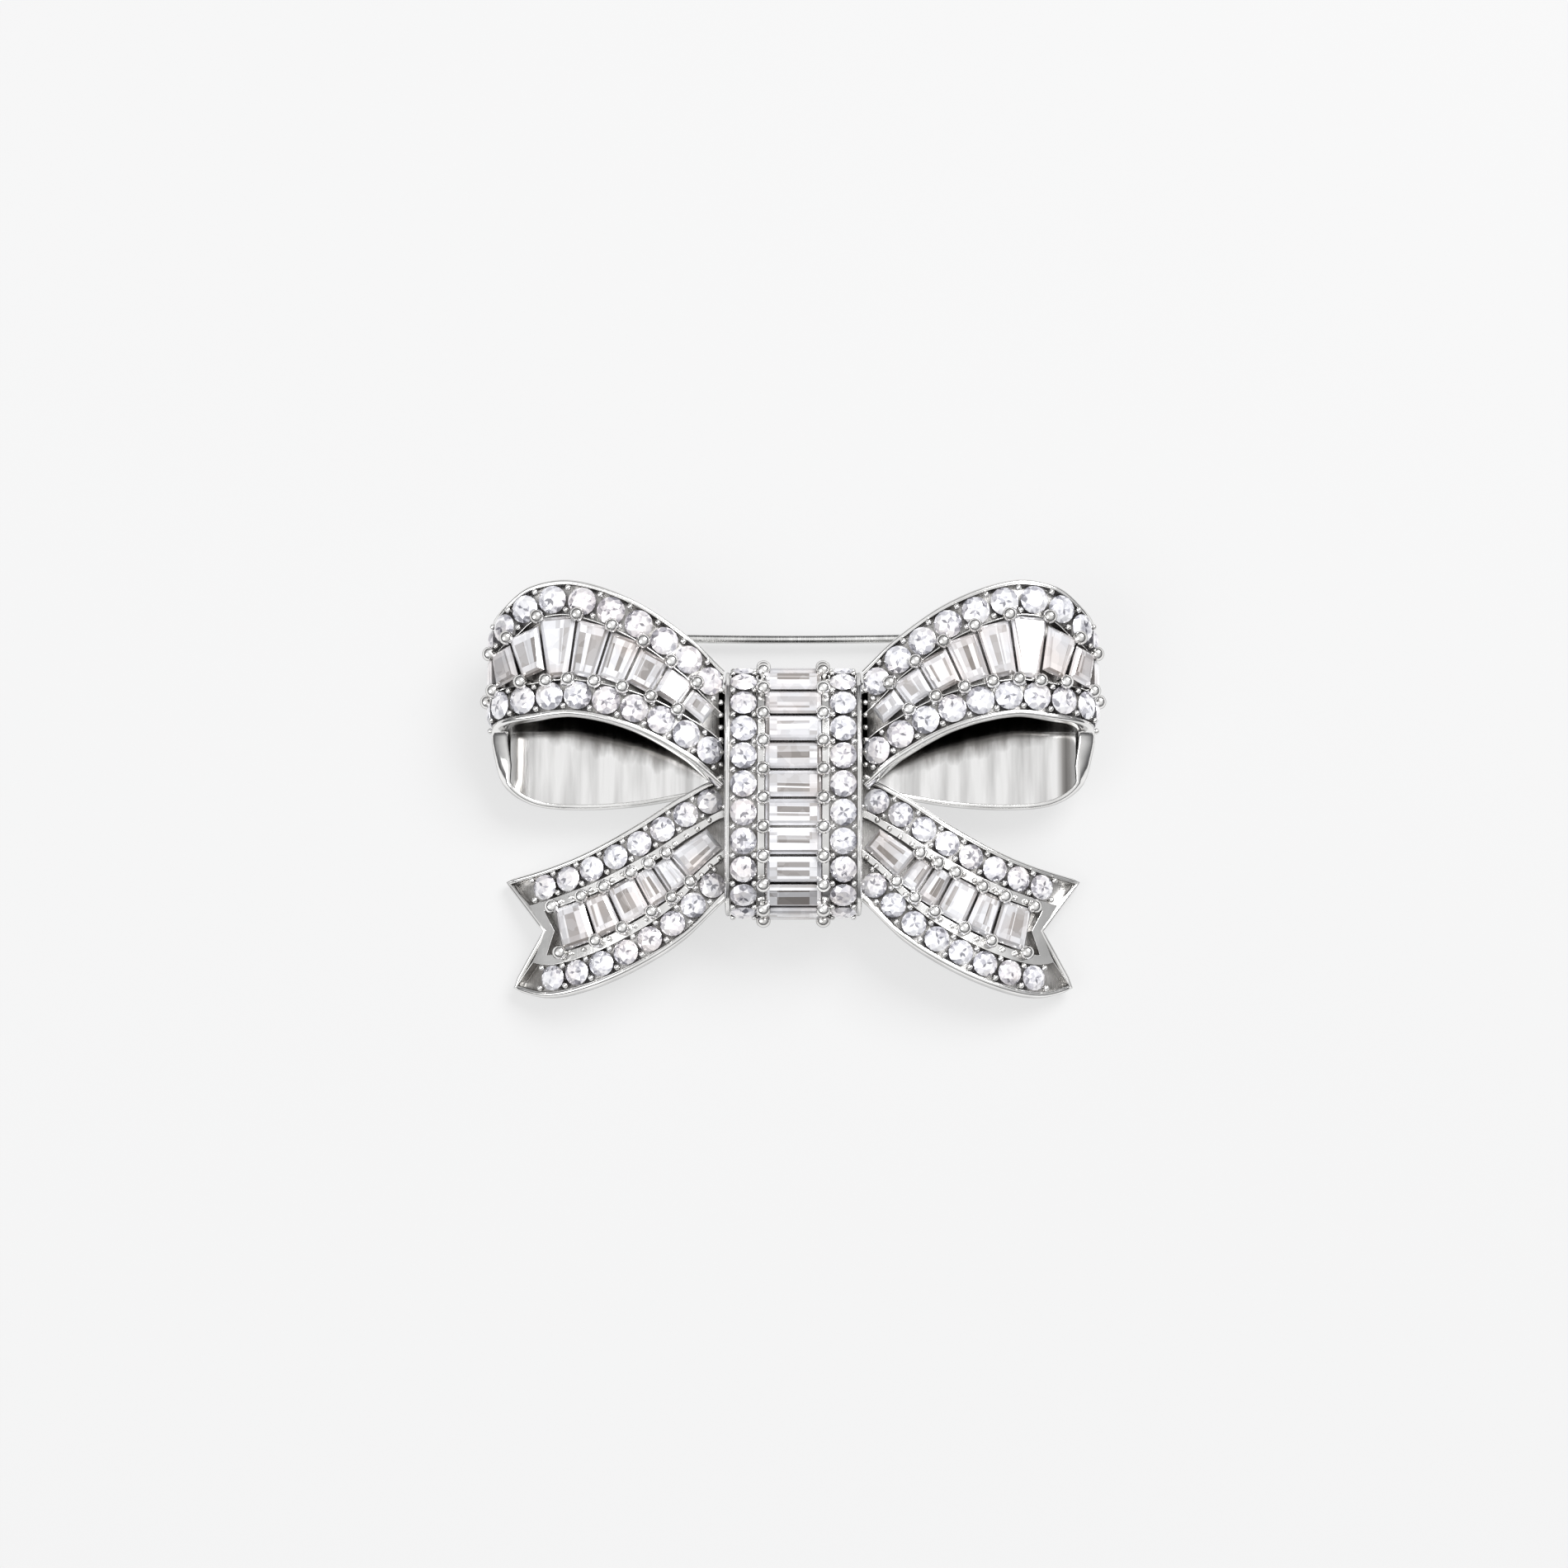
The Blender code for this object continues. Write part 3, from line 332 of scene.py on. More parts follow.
class StoneLine:
    """A line of stones on a ribbon, measured by its own length."""

    samples = 80

    def __init__(self, ribbon: Ribbon, start: float, end: float, line: Line) -> None:
        """Follow a line across a ribbon.

        Args:
            ribbon: The strip that the line lies on.
            start: Where the line starts along the strip.
            end: Where it ends.
            line: Its place across the strip.
        """
        self.start = start
        self.end = end
        places = [start + (end - start) * index / self.samples for index in range(self.samples + 1)]
        self.points = [ribbon.point(s, line(s)) for s in places]
        self.normals = [ribbon.normal(s) for s in places]
        self.lengths = [0.0]
        for before, after in zip(self.points, self.points[1:]):
            self.lengths.append(self.lengths[-1] + (after - before).length)
        self.length = self.lengths[-1]

    def find(self, distance: float) -> tuple[int, float]:
        """Return the sample after a distance, and the distance's share of the step before it.

        Args:
            distance: The distance along the line.

        Returns:
            The sample's number and the share.
        """
        index = 1
        while index < len(self.points) - 1 and self.lengths[index] < distance:
            index += 1
        start = self.lengths[index - 1]
        return index, (distance - start) / (self.lengths[index] - start)

    def reach(self, distance: float) -> float:
        """Return the length along the ribbon's profile at a distance along the line."""
        index, share = self.find(distance)
        return self.start + (self.end - self.start) * (index - 1 + share) / self.samples

    def frame(self, distance: float) -> Matrix:
        """Return the place and axes at a distance: X along the line, Y across it, Z out of the metal.

        Args:
            distance: The distance along the line.

        Returns:
            The place and axes as one matrix.
        """
        index, share = self.find(distance)
        place = self.points[index - 1].lerp(self.points[index], share)
        normal = self.normals[index - 1].lerp(self.normals[index], share).normalized()
        along = self.points[min(index + 2, self.samples)] - self.points[max(index - 3, 0)]
        along = (along - normal * along.dot(normal)).normalized()
        axes = Matrix((along, normal.cross(along), normal)).transposed()
        return Matrix.Translation(place) @ axes.to_4x4()


# ---------------------------------------------------------------- metal shapes


@dataclass
class Channel:
    """A sunk stretch of a casting's front between two of its lines."""

    first_line: int
    last_line: int
    first_step: int
    last_step: int
    depth: float

    def holds(self, cell: int, step: int) -> bool:
        """Say whether a cell of the casting's grid lies in the channel."""
        return self.first_line <= cell < self.last_line and self.first_step <= step < self.last_step


@dataclass
class Casting:
    """A strip of cast metal with stone channels in its front and softened edges.

    Attributes:
        ribbon: The surface that the strip follows.
        lines: How far along the ribbon each line goes and its place across, from the low edge up.
        shares: The sections, as shares of each line's reach.
        channels: The stone channels.
        thickness: The metal's thickness along the strip.
        edge_radius: How far the edges are rounded.
        sharp: The angle in degrees past which an edge is rounded.
        plain_from: The first step of the plain, mirror-polished stretch, where it has one.
    """

    ribbon: Ribbon
    lines: list[tuple[float, Line]]
    shares: list[float]
    channels: list[Channel]
    thickness: Line
    edge_radius: float = 0.05 * MM
    sharp: float = 40.0
    plain_from: int | None = None

    def metal(self, step: int) -> int:
        """Return the slot of the bare metal at a step: the mirror finish past the stones."""
        plain = self.plain_from is not None and step >= self.plain_from
        return MIRROR_SLOT if plain else POLISHED_SLOT

    def sunk(self, cell: int, step: int) -> bool:
        """Say whether a cell lies in any channel."""
        return any(channel.holds(cell, step) for channel in self.channels)

    def build(self, name: str, side: Side, materials: Sequence[bpy.types.Material]) -> bpy.types.Object:
        """Make the casting.

        Args:
            name: The piece's name.
            side: Its half of the bow.
            materials: The polished metal, the channels' metal darkened with painted shade, and the
                mirror-polished metal.

        Returns:
            The casting.
        """
        blank = Blank(side)
        numbers = self.add_points(blank)
        for step in range(len(self.shares) - 1):
            self.add_strip(blank, numbers, step)
        self.add_steps(blank, numbers)
        last = len(self.shares) - 1
        self.add_end(blank, numbers, 0, 0)
        self.add_end(blank, numbers, last, last - 1)
        piece = blank.build(name, materials, self.sharp)
        bevel = piece.modifiers.new("softened_edges", "BEVEL")
        bevel.width = self.edge_radius
        bevel.segments = 2
        bevel.limit_method = "ANGLE"
        bevel.angle_limit = math.radians(self.sharp)
        bevel.harden_normals = True
        return piece

    def add_points(self, blank: Blank) -> dict[tuple[str, int, int], int]:
        """Add the front, back and floor points.

        Args:
            blank: The mesh in the making.

        Returns:
            The points' numbers by layer, line and section.
        """
        numbers = {}
        floors = {}
        for channel in self.channels:
            for line in range(channel.first_line, channel.last_line + 1):
                for section in range(channel.first_step, channel.last_step + 1):
                    floors[line, section] = channel.depth
        for section, share in enumerate(self.shares):
            for line, (reach, place) in enumerate(self.lines):
                s = reach * share
                v = place(s)
                numbers["front", line, section] = blank.add(self.ribbon.point(s, v))
                numbers["back", line, section] = blank.add(self.ribbon.point(s, v, -self.thickness(s)))
                if (line, section) in floors:
                    floor = self.ribbon.point(s, v, -floors[line, section])
                    numbers["floor", line, section] = blank.add(floor)
        return numbers

    def add_strip(self, blank: Blank, numbers: dict, step: int) -> None:
        """Add the faces between two sections, with the channels' walls and the strip's edges.

        Args:
            blank: The mesh in the making.
            numbers: The points' numbers by layer, line and section.
            step: The step between two sections.
        """
        for cell in range(len(self.lines) - 1):
            sunk = self.sunk(cell, step)
            metal = self.metal(step)
            front = ("floor", SHADED_SLOT) if sunk else ("front", metal)
            for layer, slot in (front, ("back", metal)):
                corners = ((cell, step), (cell + 1, step), (cell + 1, step + 1), (cell, step + 1))
                blank.face([numbers[(layer, *corner)] for corner in corners], slot=slot)
        for line in range(len(self.lines)):
            edge = line in (0, len(self.lines) - 1)
            if edge or self.sunk(line - 1, step) != self.sunk(line, step):
                below = "back" if edge else "floor"
                corners = (("front", step), ("front", step + 1), (below, step + 1), (below, step))
                slot = self.metal(step) if edge else SHADED_SLOT
                blank.face([numbers[layer, line, section] for layer, section in corners], slot=slot)

    def add_steps(self, blank: Blank, numbers: dict) -> None:
        """Add the walls where a channel starts or stops along the strip.

        Args:
            blank: The mesh in the making.
            numbers: The points' numbers by layer, line and section.
        """
        for section in range(1, len(self.shares) - 1):
            for cell in range(len(self.lines) - 1):
                if self.sunk(cell, section - 1) != self.sunk(cell, section):
                    corners = (("front", cell), ("front", cell + 1), ("floor", cell + 1), ("floor", cell))
                    face = [numbers[layer, line, section] for layer, line in corners]
                    blank.face(face, slot=SHADED_SLOT)

    def add_end(self, blank: Blank, numbers: dict, section: int, step: int) -> None:
        """Close one end of the strip, down to the floors of the channels that reach it.

        Args:
            blank: The mesh in the making.
            numbers: The points' numbers by layer, line and section.
            section: The section at that end.
            step: The step beside it.
        """
        for cell in range(len(self.lines) - 1):
            layer = "floor" if self.sunk(cell, step) else "front"
            corners = [(layer, cell), (layer, cell + 1)]
            if layer == "front" and self.sunk(cell - 1, step):
                corners.insert(0, ("floor", cell))
            if layer == "front" and self.sunk(cell + 1, step):
                corners.append(("floor", cell + 1))
            corners += [("back", cell + 1), ("back", cell)]
            blank.face([numbers[layer, line, section] for layer, line in corners])


@dataclass(frozen=True)
class Rim:
    """A rounded, polished edge that runs round a strip.

    Attributes:
        half_width: Its half width across the edge.
        overhang: How far it stands past the metal's front and back.
        sides: Sides of its section.
        power: How square its section is: 1 is an ellipse and less is squarer.
    """

    half_width: float = 0.27 * MM
    overhang: float = 0.05 * MM
    sides: int = 14
    power: float = 0.8

    def add(self, blank: Blank, casting: Casting, path: Sequence[tuple[float, float]],
            closed: bool = False) -> None:
        """Add the rim along a path.

        Args:
            blank: The mesh in the making.
            casting: The strip that it edges.
            path: Places along and across the strip.
            closed: Whether the path ends where it starts.
        """
        ribbon = casting.ribbon
        centres = []
        for s, v in path:
            centres.append(ribbon.point(s, v, -casting.thickness(s) / 2))
        rings = []
        last = len(path) - 1
        for index, (s, _) in enumerate(path):
            before = centres[index - 1 if closed or index else 0]
            after = centres[(index + 1) % len(path) if closed else min(index + 1, last)]
            normal = ribbon.normal(s)
            outward = normal.cross((after - before).normalized()).normalized()
            tall = casting.thickness(s) / 2 + self.overhang
            ring = []
            for side in range(self.sides):
                angle = math.tau * side / self.sides
                reach = self.squared(math.cos(angle)) * self.half_width
                rise = self.squared(math.sin(angle)) * tall
                ring.append(blank.add(centres[index] + outward * reach + normal * rise))
            rings.append(ring)
        blank.tube(rings, closed)

    def squared(self, value: float) -> float:
        """Return a cosine or sine, made squarer."""
        return math.copysign(abs(value) ** self.power, value)


@dataclass(frozen=True)
class Grain:
    """A bead of metal raised beside a stone: a short neck with a domed head.

    Attributes:
        radius: The head's radius.
        rise: The head's middle above the metal.
        foot: How far the neck reaches into the metal.
        sides: Sides of the head.
        rings: Rings from the neck to the top.
        neck: The neck's radius, as a share of the head's.
        under: The angle below the head's middle where the neck joins it.
        dome: The height of the head's upper half, as a share of its radius.
    """

    radius: float
    rise: float
    foot: float
    sides: int = 10
    rings: int = 6
    neck: float = 0.62
    under: float = 0.9
    dome: float = 0.92

    def add(self, blank: Blank, place: Matrix) -> None:
        """Add one grain at a place, its Z out of the metal.

        Args:
            blank: The mesh in the making.
            place: The grain's place and axes.
        """
        profile = [(self.neck * self.radius, -self.foot)]
        for step in range(self.rings):
            angle = -self.under + (math.pi / 2 + self.under) * step / self.rings
            flat = self.dome if angle > 0 else 1.0
            profile.append((self.radius * math.cos(angle), self.rise + flat * self.radius * math.sin(angle)))
        rings = []
        for reach, height in profile:
            ring = []
            for side in range(self.sides):
                angle = math.tau * side / self.sides
                spot = Vector((reach * math.cos(angle), reach * math.sin(angle), height))
                ring.append(blank.add(place @ spot))
            rings.append(ring)
        top = blank.add(place @ Vector((0, 0, self.rise + self.dome * self.radius)))
        for before, after in zip(rings, rings[1:]):
            for side in range(self.sides):
                beside = (side + 1) % self.sides
                blank.face((before[side], before[beside], after[beside], after[side]))
        for side in range(self.sides):
            blank.face((rings[-1][side], rings[-1][(side + 1) % self.sides], top))
        blank.face(rings[0])


BEAD = Grain(radius=0.24 * MM, rise=0.20 * MM, foot=0.3 * MM)
SMALL_BEAD = Grain(radius=0.23 * MM, rise=0.14 * MM, foot=0.25 * MM)
PRONG = Grain(radius=0.60 * MM, rise=0.50 * MM, foot=0.5 * MM, sides=18, rings=10)


# ---------------------------------------------------------------- cut stones


@dataclass(frozen=True)
class BrilliantCut:
    """A round brilliant, with its sizes as shares of its diameter.

    Attributes:
        table: The table's radius.
        star: The radius of the star facets' points.
        crown: The table's height above the girdle's middle.
        star_rise: The height of the star facets' points.
        girdle: Half the girdle's thickness.
        pavilion: The depth of the pavilion.
        table_tones: Painted tones of the reflection patches in the middle of the table.
        dim: The painted tone of the crown on the side turned from the light.
        gain: How much brighter the crown is painted on the side turned to the light.
    """

    table: float = 0.28
    star: float = 0.385
    crown: float = 0.155
    star_rise: float = 0.105
    girdle: float = 0.012
    pavilion: float = 0.42
    table_tones: tuple[float, ...] = (0.1, 0.55, 0.9)
    dim: float = 0.25
    gain: float = 0.55

    def add(self, blank: Blank, place: Matrix, diameter: float, draw: random.Random) -> None:
        """Add one stone.

        Args:
            blank: The mesh in the making.
            place: The middle of the girdle, with Z out of the metal.
            diameter: The stone's diameter.
            draw: Where the facets' tones are drawn from.
        """
        turn = Matrix.Rotation(draw.uniform(0, math.tau / 8), 4, "Z")

        def ring(count: int, offset: float, radius: float, rise: float) -> list[int]:
            """Add a ring of points and return their numbers.

            Args:
                count: How many points it has.
                offset: Its turn, in steps from point to point.
                radius: Its radius, as a share of the diameter.
                rise: Its height, as a share of the diameter.

            Returns:
                The points' numbers.
            """
            numbers = []
            for index in range(count):
                angle = math.tau * (index + offset) / count
                spot = Vector((radius * math.cos(angle), radius * math.sin(angle), rise)) * diameter
                numbers.append(blank.add(place @ turn @ spot))
            return numbers

        table = ring(8, 0, self.table, self.crown)
        inner = ring(8, 0.5, 0.5 * self.table, self.crown)
        star = ring(8, 0.5, self.star, self.star_rise)
        upper = ring(16, 0, 0.5, self.girdle)
        lower = ring(16, 0, 0.5, -self.girdle)
        middle = blank.add(place @ Vector((0, 0, self.crown * diameter)))
        culet = blank.add(place @ Vector((0, 0, -self.pavilion * diameter)))
        # Painted light: the crown is brightest on one drawn side, and every facet gets a painted tone of
        # sparkle.
        bright = draw.randrange(8)
        for index in range(8):
            beside = (index + 1) % 8
            near = 1.0 - abs((index - bright + 4) % 8 - 4) / 4
            lit = self.dim + self.gain * near
            patch = (middle, inner[index - 1], table[index], inner[index])
            blank.face(patch, draw.choice(self.table_tones))
            blank.face((table[index], table[beside], inner[index]), draw.uniform(0.55, 1.0))
            blank.face((table[index], star[index], table[beside]), draw.uniform(0.6, 1.0))
            kite = (table[beside], star[index], upper[2 * beside], star[beside])
            blank.face(kite, min(1.0, lit + draw.uniform(-0.25, 0.3)))
            for half in (0, 1):
                start = 2 * index + half
                corners = (star[index], upper[start], upper[(start + 1) % 16])
                blank.face(corners, min(1.0, max(0.0, lit + draw.uniform(-0.4, 0.35))))
        # Painted tones: a bright girdle and a dark pavilion.
        for index in range(16):
            beside = (index + 1) % 16
            blank.face((upper[index], upper[beside], lower[beside], lower[index]), 0.75)
            blank.face((lower[index], lower[beside], culet), 0.3)


@dataclass(frozen=True)
class StepCut:
    """A baguette: a table, two crown steps, a girdle and a keel, tapered to its seat.

    Attributes:
        table_inset: How far the table lies inside the girdle.
        table_limit: The most that the inset may be, as a share of the stone's least side.
        table_rise: The table's height above the girdle's middle.
        step_share: How far inside the girdle the crown's step lies, as a share of the table's inset.
        step_rise: The height of the crown's step.
        girdle: Half the girdle's thickness.
        keel_share: How far the keel is drawn in, as a share of the stone's least side.
        keel_depth: The depth of the keel.
        streaks: Painted streaks of light and shade on the table, for the keel's steps seen through it, side
            by side along the stone.
        bands: Where the streaks start and stop, as shares of the table's length.
        streak_tones: The painted streaks' tones.
    """

    table_inset: float = 0.34 * MM
    table_limit: float = 0.3
    table_rise: float = 0.34 * MM
    step_share: float = 0.45
    step_rise: float = 0.2 * MM
    girdle: float = 0.03 * MM
    keel_share: float = 0.42
    keel_depth: float = 0.8 * MM
    streaks: int = 6
    bands: tuple[float, ...] = (0.0, 0.16, 0.84, 1.0)
    streak_tones: tuple[float, ...] = (0.1, 0.35, 0.6, 0.8, 1.0)

    def add(self, blank: Blank, place: Matrix, sides: tuple[tuple[float, float], tuple[float, float]],
            length: float, draw: random.Random) -> None:
        """Add one stone.

        Args:
            blank: The mesh in the making.
            place: The middle of the girdle, with Y along the stone's length and Z out of the metal.
            sides: Where its two sides lie at its low end and at its high end.
            length: Its length.
            draw: Where the facets' tones are drawn from.
        """
        low, high = sides
        least = min(low[1] - low[0], high[1] - high[0], length)
        table = min(self.table_inset, self.table_limit * least)
        levels = [
            (self.keel_share * least, -self.keel_depth),
            (0.0, -self.girdle),
            (0.0, self.girdle),
            (self.step_share * table, self.step_rise),
            (table, self.table_rise),
        ]
        rings = []
        for inset, rise in levels:
            end = length / 2 - inset
            corners = (
                (low[0] + inset, -end), (low[1] - inset, -end),
                (high[1] - inset, end), (high[0] + inset, end),
            )
            rings.append([blank.add(place @ Vector((x, y, rise))) for x, y in corners])
        # Painted tones: a dark keel, and full brightness on one drawn side's crown steps as a painted
        # highlight.
        blank.face(rings[0], 0.2)
        lit = draw.randrange(4)
        borders = self.add_table(blank, rings[-1], draw)
        for level in range(len(rings) - 1):
            before, after = rings[level], rings[level + 1]
            for side in range(4):
                beside = (side + 1) % 4
                tone = draw.uniform(0.35, 1.0) if side % 2 else draw.uniform(0.1, 0.9)
                if side == lit and level > 1:
                    tone = 1.0
                edge = borders[side] if level == len(rings) - 2 else (after[side], after[beside])
                blank.face((before[beside], before[side], *edge), tone)

    def add_table(self, blank: Blank, corners: Sequence[int], draw: random.Random) -> list[list[int]]:
        """Divide the table into painted streaks of light and shade, for the keel's steps seen through it.

        Args:
            blank: The mesh in the making.
            corners: The table's corners.
            draw: Where the streaks' places and tones are drawn from.

        Returns:
            The points along each of the table's four sides.
        """
        points = [blank.points[corner] for corner in corners]
        columns, rows = self.streaks, len(self.bands) - 1
        across = [0.0] + sorted(draw.uniform(0.08, 0.92) for _ in range(columns - 1)) + [1.0]
        tones = [draw.choice(self.streak_tones) for _ in range(columns)]
        grid = []
        for row, along in enumerate(self.bands):
            low = points[0].lerp(points[3], along)
            high = points[1].lerp(points[2], along)
            lean = draw.uniform(-0.03, 0.03) if 0 < row < rows else 0.0
            line = []
            for column, share in enumerate(across):
                inner = 0 < column < columns
                spot = low.lerp(high, share + (lean if inner else 0.0))
                line.append(len(blank.points))
                blank.points.append(spot)
            grid.append(line)
        grid[0][0], grid[0][-1], grid[-1][-1], grid[-1][0] = corners
        for row in range(rows):
            for column in range(columns):
                tone = tones[column] + draw.uniform(-0.1, 0.1)
                if row in (0, rows - 1):
                    tone = draw.uniform(0.35, 1.0)
                cell = (grid[row][column], grid[row][column + 1],
                        grid[row + 1][column + 1], grid[row + 1][column])
                blank.face(cell, min(1.0, max(0.05, tone)))
        right = [line[-1] for line in grid]
        left = [line[0] for line in reversed(grid)]
        return [grid[0], right, grid[-1][::-1], left]


# ---------------------------------------------------------------- finishes


def add_group(name: str, inputs: dict[str, float], outputs: Sequence[str]) -> tuple:
    """Start a shader node group.

    Args:
        name: The group's name.
        inputs: Its number inputs and their values.
        outputs: Its number outputs.

    Returns:
        The group, its input node and its output node.
    """
    group = bpy.data.node_groups.new(name, "ShaderNodeTree")
    for label, value in inputs.items():
        group.interface.new_socket(label, in_out="INPUT", socket_type="NodeSocketFloat").default_value = value
    for label in outputs:
        group.interface.new_socket(label, in_out="OUTPUT", socket_type="NodeSocketFloat")
    return group, group.nodes.new("NodeGroupInput"), group.nodes.new("NodeGroupOutput")


def ramp(tree: bpy.types.NodeTree, stops: Sequence[tuple[float, Colour]]) -> bpy.types.Node:
    """Add a colour ramp with the given stops.

    Args:
        tree: The node tree that it is added to.
        stops: Each stop's place and colour.

    Returns:
        The ramp's node.
    """
    node = tree.nodes.new("ShaderNodeValToRGB")
    elements = node.color_ramp.elements
    while len(elements) < len(stops):
        elements.new(0.5)
    for element, (place, colour) in zip(elements, stops):
        element.position = place
        element.color = (*colour, 1.0)
    return node


def maths(tree: bpy.types.NodeTree, operation: str, *values: bpy.types.NodeSocket | float,
          clamp: bool = False) -> bpy.types.NodeSocket:
    """Add a math node.

    Args:
        tree: The tree that it is added to.
        operation: What it does.
        values: Its inputs, each a socket or a number.
        clamp: Whether the result is kept between 0 and 1.

    Returns:
        Its result.
    """
    node = tree.nodes.new("ShaderNodeMath")
    node.operation = operation
    node.use_clamp = clamp
    for place, value in zip(node.inputs, values):
        if isinstance(value, (int, float)):
            place.default_value = value
        else:
            tree.links.new(value, place)
    return node.outputs["Value"]


def polish_lines() -> bpy.types.NodeTree:
    """Build the shared group of fine polishing lines and a slow mottle of tone.

    Returns:
        A group with two outputs from 0 to 1: the polishing lines, and the mottle of tone.
    """
    values = {"Line Scale": 900.0, "Smudge Scale": 350.0}
    values.update({f"Stretch {axis}": 1.0 for axis in "XYZ"})
    group, inputs, outputs = add_group("polish_lines", values, ("Lines", "Mottle"))
    links = group.links
    place = group.nodes.new("ShaderNodeTexCoord")
    stretch = group.nodes.new("ShaderNodeMapping")
    stretch.inputs["Scale"].default_value = (6.0, 0.5, 1.0)
    lines = group.nodes.new("ShaderNodeTexNoise")
    lines.inputs["Detail"].default_value = 6.0
    lines.inputs["Roughness"].default_value = 0.7
    mottle = group.nodes.new("ShaderNodeTexNoise")
    mottle.inputs["Detail"].default_value = 3.0
    links.new(place.outputs["Object"], stretch.inputs["Vector"])
    links.new(stretch.outputs["Vector"], lines.inputs["Vector"])
    links.new(inputs.outputs["Line Scale"], lines.inputs["Scale"])
    axes = group.nodes.new("ShaderNodeCombineXYZ")
    pull = group.nodes.new("ShaderNodeVectorMath")
    pull.operation = "MULTIPLY"
    for axis in "XYZ":
        links.new(inputs.outputs[f"Stretch {axis}"], axes.inputs[axis])
    links.new(place.outputs["Object"], pull.inputs[0])
    links.new(axes.outputs["Vector"], pull.inputs[1])
    links.new(pull.outputs["Vector"], mottle.inputs["Vector"])
    links.new(inputs.outputs["Smudge Scale"], mottle.inputs["Scale"])
    links.new(lines.outputs["Fac"], outputs.inputs["Lines"])
    links.new(mottle.outputs["Fac"], outputs.inputs["Mottle"])
    return group


def arch_shade() -> bpy.types.NodeTree:
    """Build the shared group of painted reflection and shade on a loop's back strand: its dark arch and its
    bend, as the strand would mirror them.

    Returns:
        A group with output Shade: 1 for the darkest painted shade under the arch, part dark by the bend and 0
            in the open.
    """
    arch_slope = 0.25                # how much higher the arch is for each step outwards
    arch_ragged = 2.4 * MM
    arch_fade = 2.3 * MM
    arch_end = 21.8 * MM             # from the middle of the bow
    end_fade = 1.6 * MM
    bend_place = 22.3 * MM
    bend_half = 0.8 * MM
    bend_shade = 0.75
    group, _, outputs = add_group("arch_shade", {}, ("Shade",))
    place = group.nodes.new("ShaderNodeTexCoord")
    split = group.nodes.new("ShaderNodeSeparateXYZ")
    stretch = group.nodes.new("ShaderNodeMapping")
    stretch.inputs["Scale"].default_value = (1.0, 0.25, 1.0)
    noise = group.nodes.new("ShaderNodeTexNoise")
    noise.inputs["Scale"].default_value = 900.0
    noise.inputs["Detail"].default_value = 4.0
    group.links.new(place.outputs["Object"], split.inputs["Vector"])
    group.links.new(place.outputs["Object"], stretch.inputs["Vector"])
    group.links.new(stretch.outputs["Vector"], noise.inputs["Vector"])
    out = maths(group, "ABSOLUTE", split.outputs["X"])
    height = maths(group, "MULTIPLY_ADD", out, -arch_slope, split.outputs["Y"])
    ragged = maths(group, "MULTIPLY_ADD", noise.outputs["Fac"], arch_ragged, height)
    under = maths(group, "MULTIPLY_ADD", ragged, 1 / arch_fade, -0.12, clamp=True)
    inside = maths(group, "MULTIPLY_ADD", out, -1 / end_fade, arch_end / end_fade, clamp=True)
    arch = maths(group, "MULTIPLY", under, inside)
    off = maths(group, "ABSOLUTE", maths(group, "SUBTRACT", out, bend_place))
    bend = maths(group, "MULTIPLY_ADD", off, -bend_shade / bend_half, bend_shade, clamp=True)
    group.links.new(maths(group, "MAXIMUM", arch, bend), outputs.inputs["Shade"])
    return group


def facet_play() -> bpy.types.NodeTree:
    """Build the shared group that breaks up each facet's painted tone with painted patches of light and
    shade, for the shapes seen deeper in a stone.

    Returns:
        A group with outputs Tone, the facet's broken tone, and Tint, a slow drift from stone to stone.
    """
    group, inputs, outputs = add_group("facet_play", {"Scale": 1400.0, "Depth": 0.5}, ("Tone", "Tint"))
    links = group.links
    tone = group.nodes.new("ShaderNodeAttribute")
    tone.attribute_name = "tone"
    place = group.nodes.new("ShaderNodeTexCoord")
    cells = group.nodes.new("ShaderNodeTexVoronoi")
    cells.distance = "MANHATTAN"
    shade = group.nodes.new("ShaderNodeSeparateColor")
    drift = group.nodes.new("ShaderNodeTexNoise")
    drift.inputs["Scale"].default_value = 260.0
    links.new(place.outputs["Object"], cells.inputs["Vector"])
    links.new(inputs.outputs["Scale"], cells.inputs["Scale"])
    links.new(cells.outputs["Color"], shade.inputs["Color"])
    links.new(place.outputs["Object"], drift.inputs["Vector"])
    swing = maths(group, "SUBTRACT", shade.outputs["Red"], 0.5)
    mixed = maths(group, "MULTIPLY_ADD", swing, inputs.outputs["Depth"], tone.outputs["Fac"], clamp=True)
    links.new(mixed, outputs.inputs["Tone"])
    links.new(drift.outputs["Fac"], outputs.inputs["Tint"])
    return group


